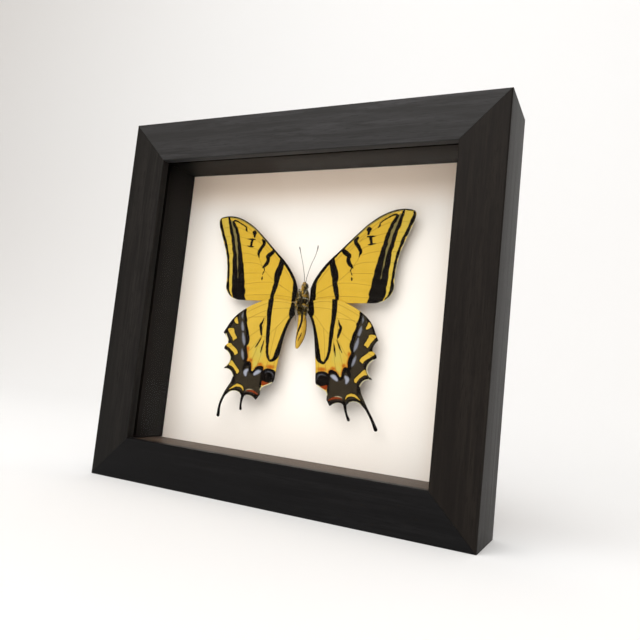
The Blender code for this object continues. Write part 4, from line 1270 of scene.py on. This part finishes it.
def hanger_strip():
    """Rings square to the strip's length: it rises from the ears on a smooth step, and its lower edge is a
    triangle wave, so each tooth is a plain V."""
    middle = (HANGER_LOW.x + HANGER_HIGH.x) / 2
    half = (HANGER_HIGH.x - HANGER_LOW.x) / 2
    flat_half = half - HANGER_EAR - HANGER_BEND
    ears = np.linspace(half - HANGER_EAR - HANGER_BEND, half - HANGER_EAR, 7)[1:]
    teeth = np.linspace(-flat_half, flat_half, 2 * HANGER_TEETH + 1)
    x = np.concatenate([[-half, -half + EDGE_ROUND], -ears[::-1], teeth, ears, [half - EDGE_ROUND, half]])
    step = np.clip((half - HANGER_EAR - np.abs(x)) / HANGER_BEND, 0, 1)
    near = HANGER_LOW.y + HANGER_RISE * step * step * (3 - 2 * step)
    tooth = np.clip((flat_half - np.abs(x)) / (2 * flat_half) * 2 * HANGER_TEETH, 0, None)
    wave = 1 - np.abs(tooth % 2 - 1)
    shrunk = np.where(np.abs(x) > half - EDGE_ROUND / 2, EDGE_ROUND, 0.0)
    low = HANGER_LOW.z + TOOTH_DEPTH * np.where(np.abs(x) < flat_half, wave, 0.0) + shrunk
    high = HANGER_HIGH.z - shrunk
    e = EDGE_ROUND
    far = near + HANGER_THICK
    rings = np.stack([
        np.stack([x, near, low + e], 1), np.stack([x, near + e, low], 1), np.stack([x, far - e, low], 1),
        np.stack([x, far, low + e], 1), np.stack([x, far, high - e], 1), np.stack([x, far - e, high], 1),
        np.stack([x, near + e, high], 1), np.stack([x, near, high - e], 1),
    ], 1)
    rings[..., 0] += middle
    return rings


brass_strip = plated_metal("brass_plated_steel_strip", "#C6A566", "#AE8D52", 0, 0.32)
rings = hanger_strip()
hanger = add_mesh("sawtooth_hanger", rings.reshape(-1, 3), tube_faces(len(rings), 8), brass_strip, 35)
face_outwards(hanger, 35)
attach(hanger, "root")
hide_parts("hanger")

NAIL_SIDES = 28
brass_nail = plated_metal("brass_plated_nail", "#CCAA69", "#B08E52", 1, 0.28)
for side in ("left", "right"):
    low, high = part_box(f"nail_{side}")
    centre = (low + high) / 2
    head_radius = (high.x - low.x) / 2
    head_thick = 0.6 * MM
    shank = 0.6 * MM
    under = high.y - head_thick
    dome = np.radians(np.linspace(0, 86, 7))
    radius = np.concatenate([
        [0.05 * MM, shank, shank, shank + 0.1 * MM, head_radius - 0.1 * MM], head_radius * np.cos(dome),
    ])
    height = np.concatenate([
        [low.y, low.y + 1.5 * MM, under - 0.1 * MM, under, under],
        under + 0.1 * MM + (head_thick - 0.1 * MM) * np.sin(dome),
    ])
    a = np.arange(NAIL_SIDES) * 2 * np.pi / NAIL_SIDES
    spun = np.stack([
        centre.x + radius[:, None] * np.cos(a), np.repeat(height[:, None], NAIL_SIDES, 1),
        centre.z - radius[:, None] * np.sin(a),
    ], -1)
    nail_faces = tube_faces(len(radius), NAIL_SIDES)
    nail = add_mesh(f"domed_nail_{side}", spun.reshape(-1, 3), nail_faces, brass_nail, 35)
    face_outwards(nail, 35)
    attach(nail, "root")
    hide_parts(f"nail_{side}")


# ---------------------------------------------------------------------------------------------------
# Studio: a seamless pale sweep, a broad soft window light from above in front, and a camera low and to
# the right. The camera is turned a little, as the frame leans back from it.
# ---------------------------------------------------------------------------------------------------

SWEEP_HALF = 2.2
SWEEP_FRONT = -1.6
SWEEP_BACK = 1.1
SWEEP_RADIUS = 0.75
SWEEP_HEIGHT = 2.2

sweep_paper, tree, shader = new_material(
    "white_sweep_paper", Base_Color=colour("#EEF2F5"), Roughness=0.85, Specular_IOR_Level=0.2
)
flat = np.array([[SWEEP_FRONT, 0.0], [-0.3, 0.0], [0.1, 0.0]])
bend = arc((SWEEP_BACK - SWEEP_RADIUS, SWEEP_RADIUS), SWEEP_RADIUS, -90, 0, 32)
wall = np.array([[SWEEP_BACK, SWEEP_HEIGHT]])
section = np.vstack([flat, bend, wall])
points = np.vstack([np.column_stack([np.full(len(section), x), section]) for x in (SWEEP_HALF, -SWEEP_HALF)])
steps = np.arange(len(section) - 1)
faces = np.stack([steps, steps + 1, steps + 1 + len(section), steps + len(section)], 1)
sweep = add_mesh("sweep", points, faces.tolist(), sweep_paper, 60)

CAMERA_TURN = np.radians(-26.07)
CAMERA_LOOKS_UP = np.radians(5.33)
CAMERA_ROLL = np.radians(6.03)
CAMERA_DISTANCE = 0.28655
CAMERA_LENS = 35.85
aim = Vector((0.0230, FRONT, (TOP + BOTTOM) / 2 - 0.0070))
ahead = Vector((
    np.sin(CAMERA_TURN) * np.cos(CAMERA_LOOKS_UP),
    np.cos(CAMERA_TURN) * np.cos(CAMERA_LOOKS_UP),
    np.sin(CAMERA_LOOKS_UP),
))
level = ahead.cross(Vector((0, 0, 1))).normalized()
rolled = Matrix.Rotation(-CAMERA_ROLL, 3, ahead)
right = rolled @ level
up = right.cross(ahead)
lens = bpy.data.cameras.new("camera")
lens.lens = CAMERA_LENS
lens.sensor_width = 36.0
lens.clip_start = 0.01
camera = bpy.data.objects.new("camera", lens)
facing = Matrix((right, up, -ahead)).transposed().to_4x4()
camera.matrix_world = Matrix.Translation(aim - ahead * CAMERA_DISTANCE) @ facing
bpy.context.scene.collection.objects.link(camera)
bpy.context.scene.camera = camera


def add_softbox(name, place, towards, size, watts, tint):
    """A square area light that points at a spot."""
    lamp = bpy.data.lights.new(name, "AREA")
    lamp.size = size
    lamp.energy = watts
    lamp.color = colour(tint)[:3]
    made = bpy.data.objects.new(name, lamp)
    made.location = place
    made.rotation_euler = (Vector(towards) - Vector(place)).to_track_quat("-Z", "Y").to_euler()
    bpy.context.scene.collection.objects.link(made)


middle = (0.0, 0.0, (TOP + BOTTOM) / 2)
add_softbox("window", (-0.05, -1.05, 1.2), middle, 1.7, 25.5, "#FFFCFA")
add_softbox("fill", (0.7, -1.2, 0.25), middle, 1.2, 1.0, "#FBFCFF")
add_softbox("wash", (-0.4, 0.3, 2.0), (-0.5, 1.1, 1.9), 0.8, 2.5, "#FFFFFF")

room = bpy.data.worlds.new("room")
room.use_nodes = True
room.node_tree.nodes["Background"].inputs["Color"].default_value = colour("#FFF3E8")
room.node_tree.nodes["Background"].inputs["Strength"].default_value = 0.62
bpy.context.scene.world = room
bpy.context.scene.view_settings.view_transform = "Standard"
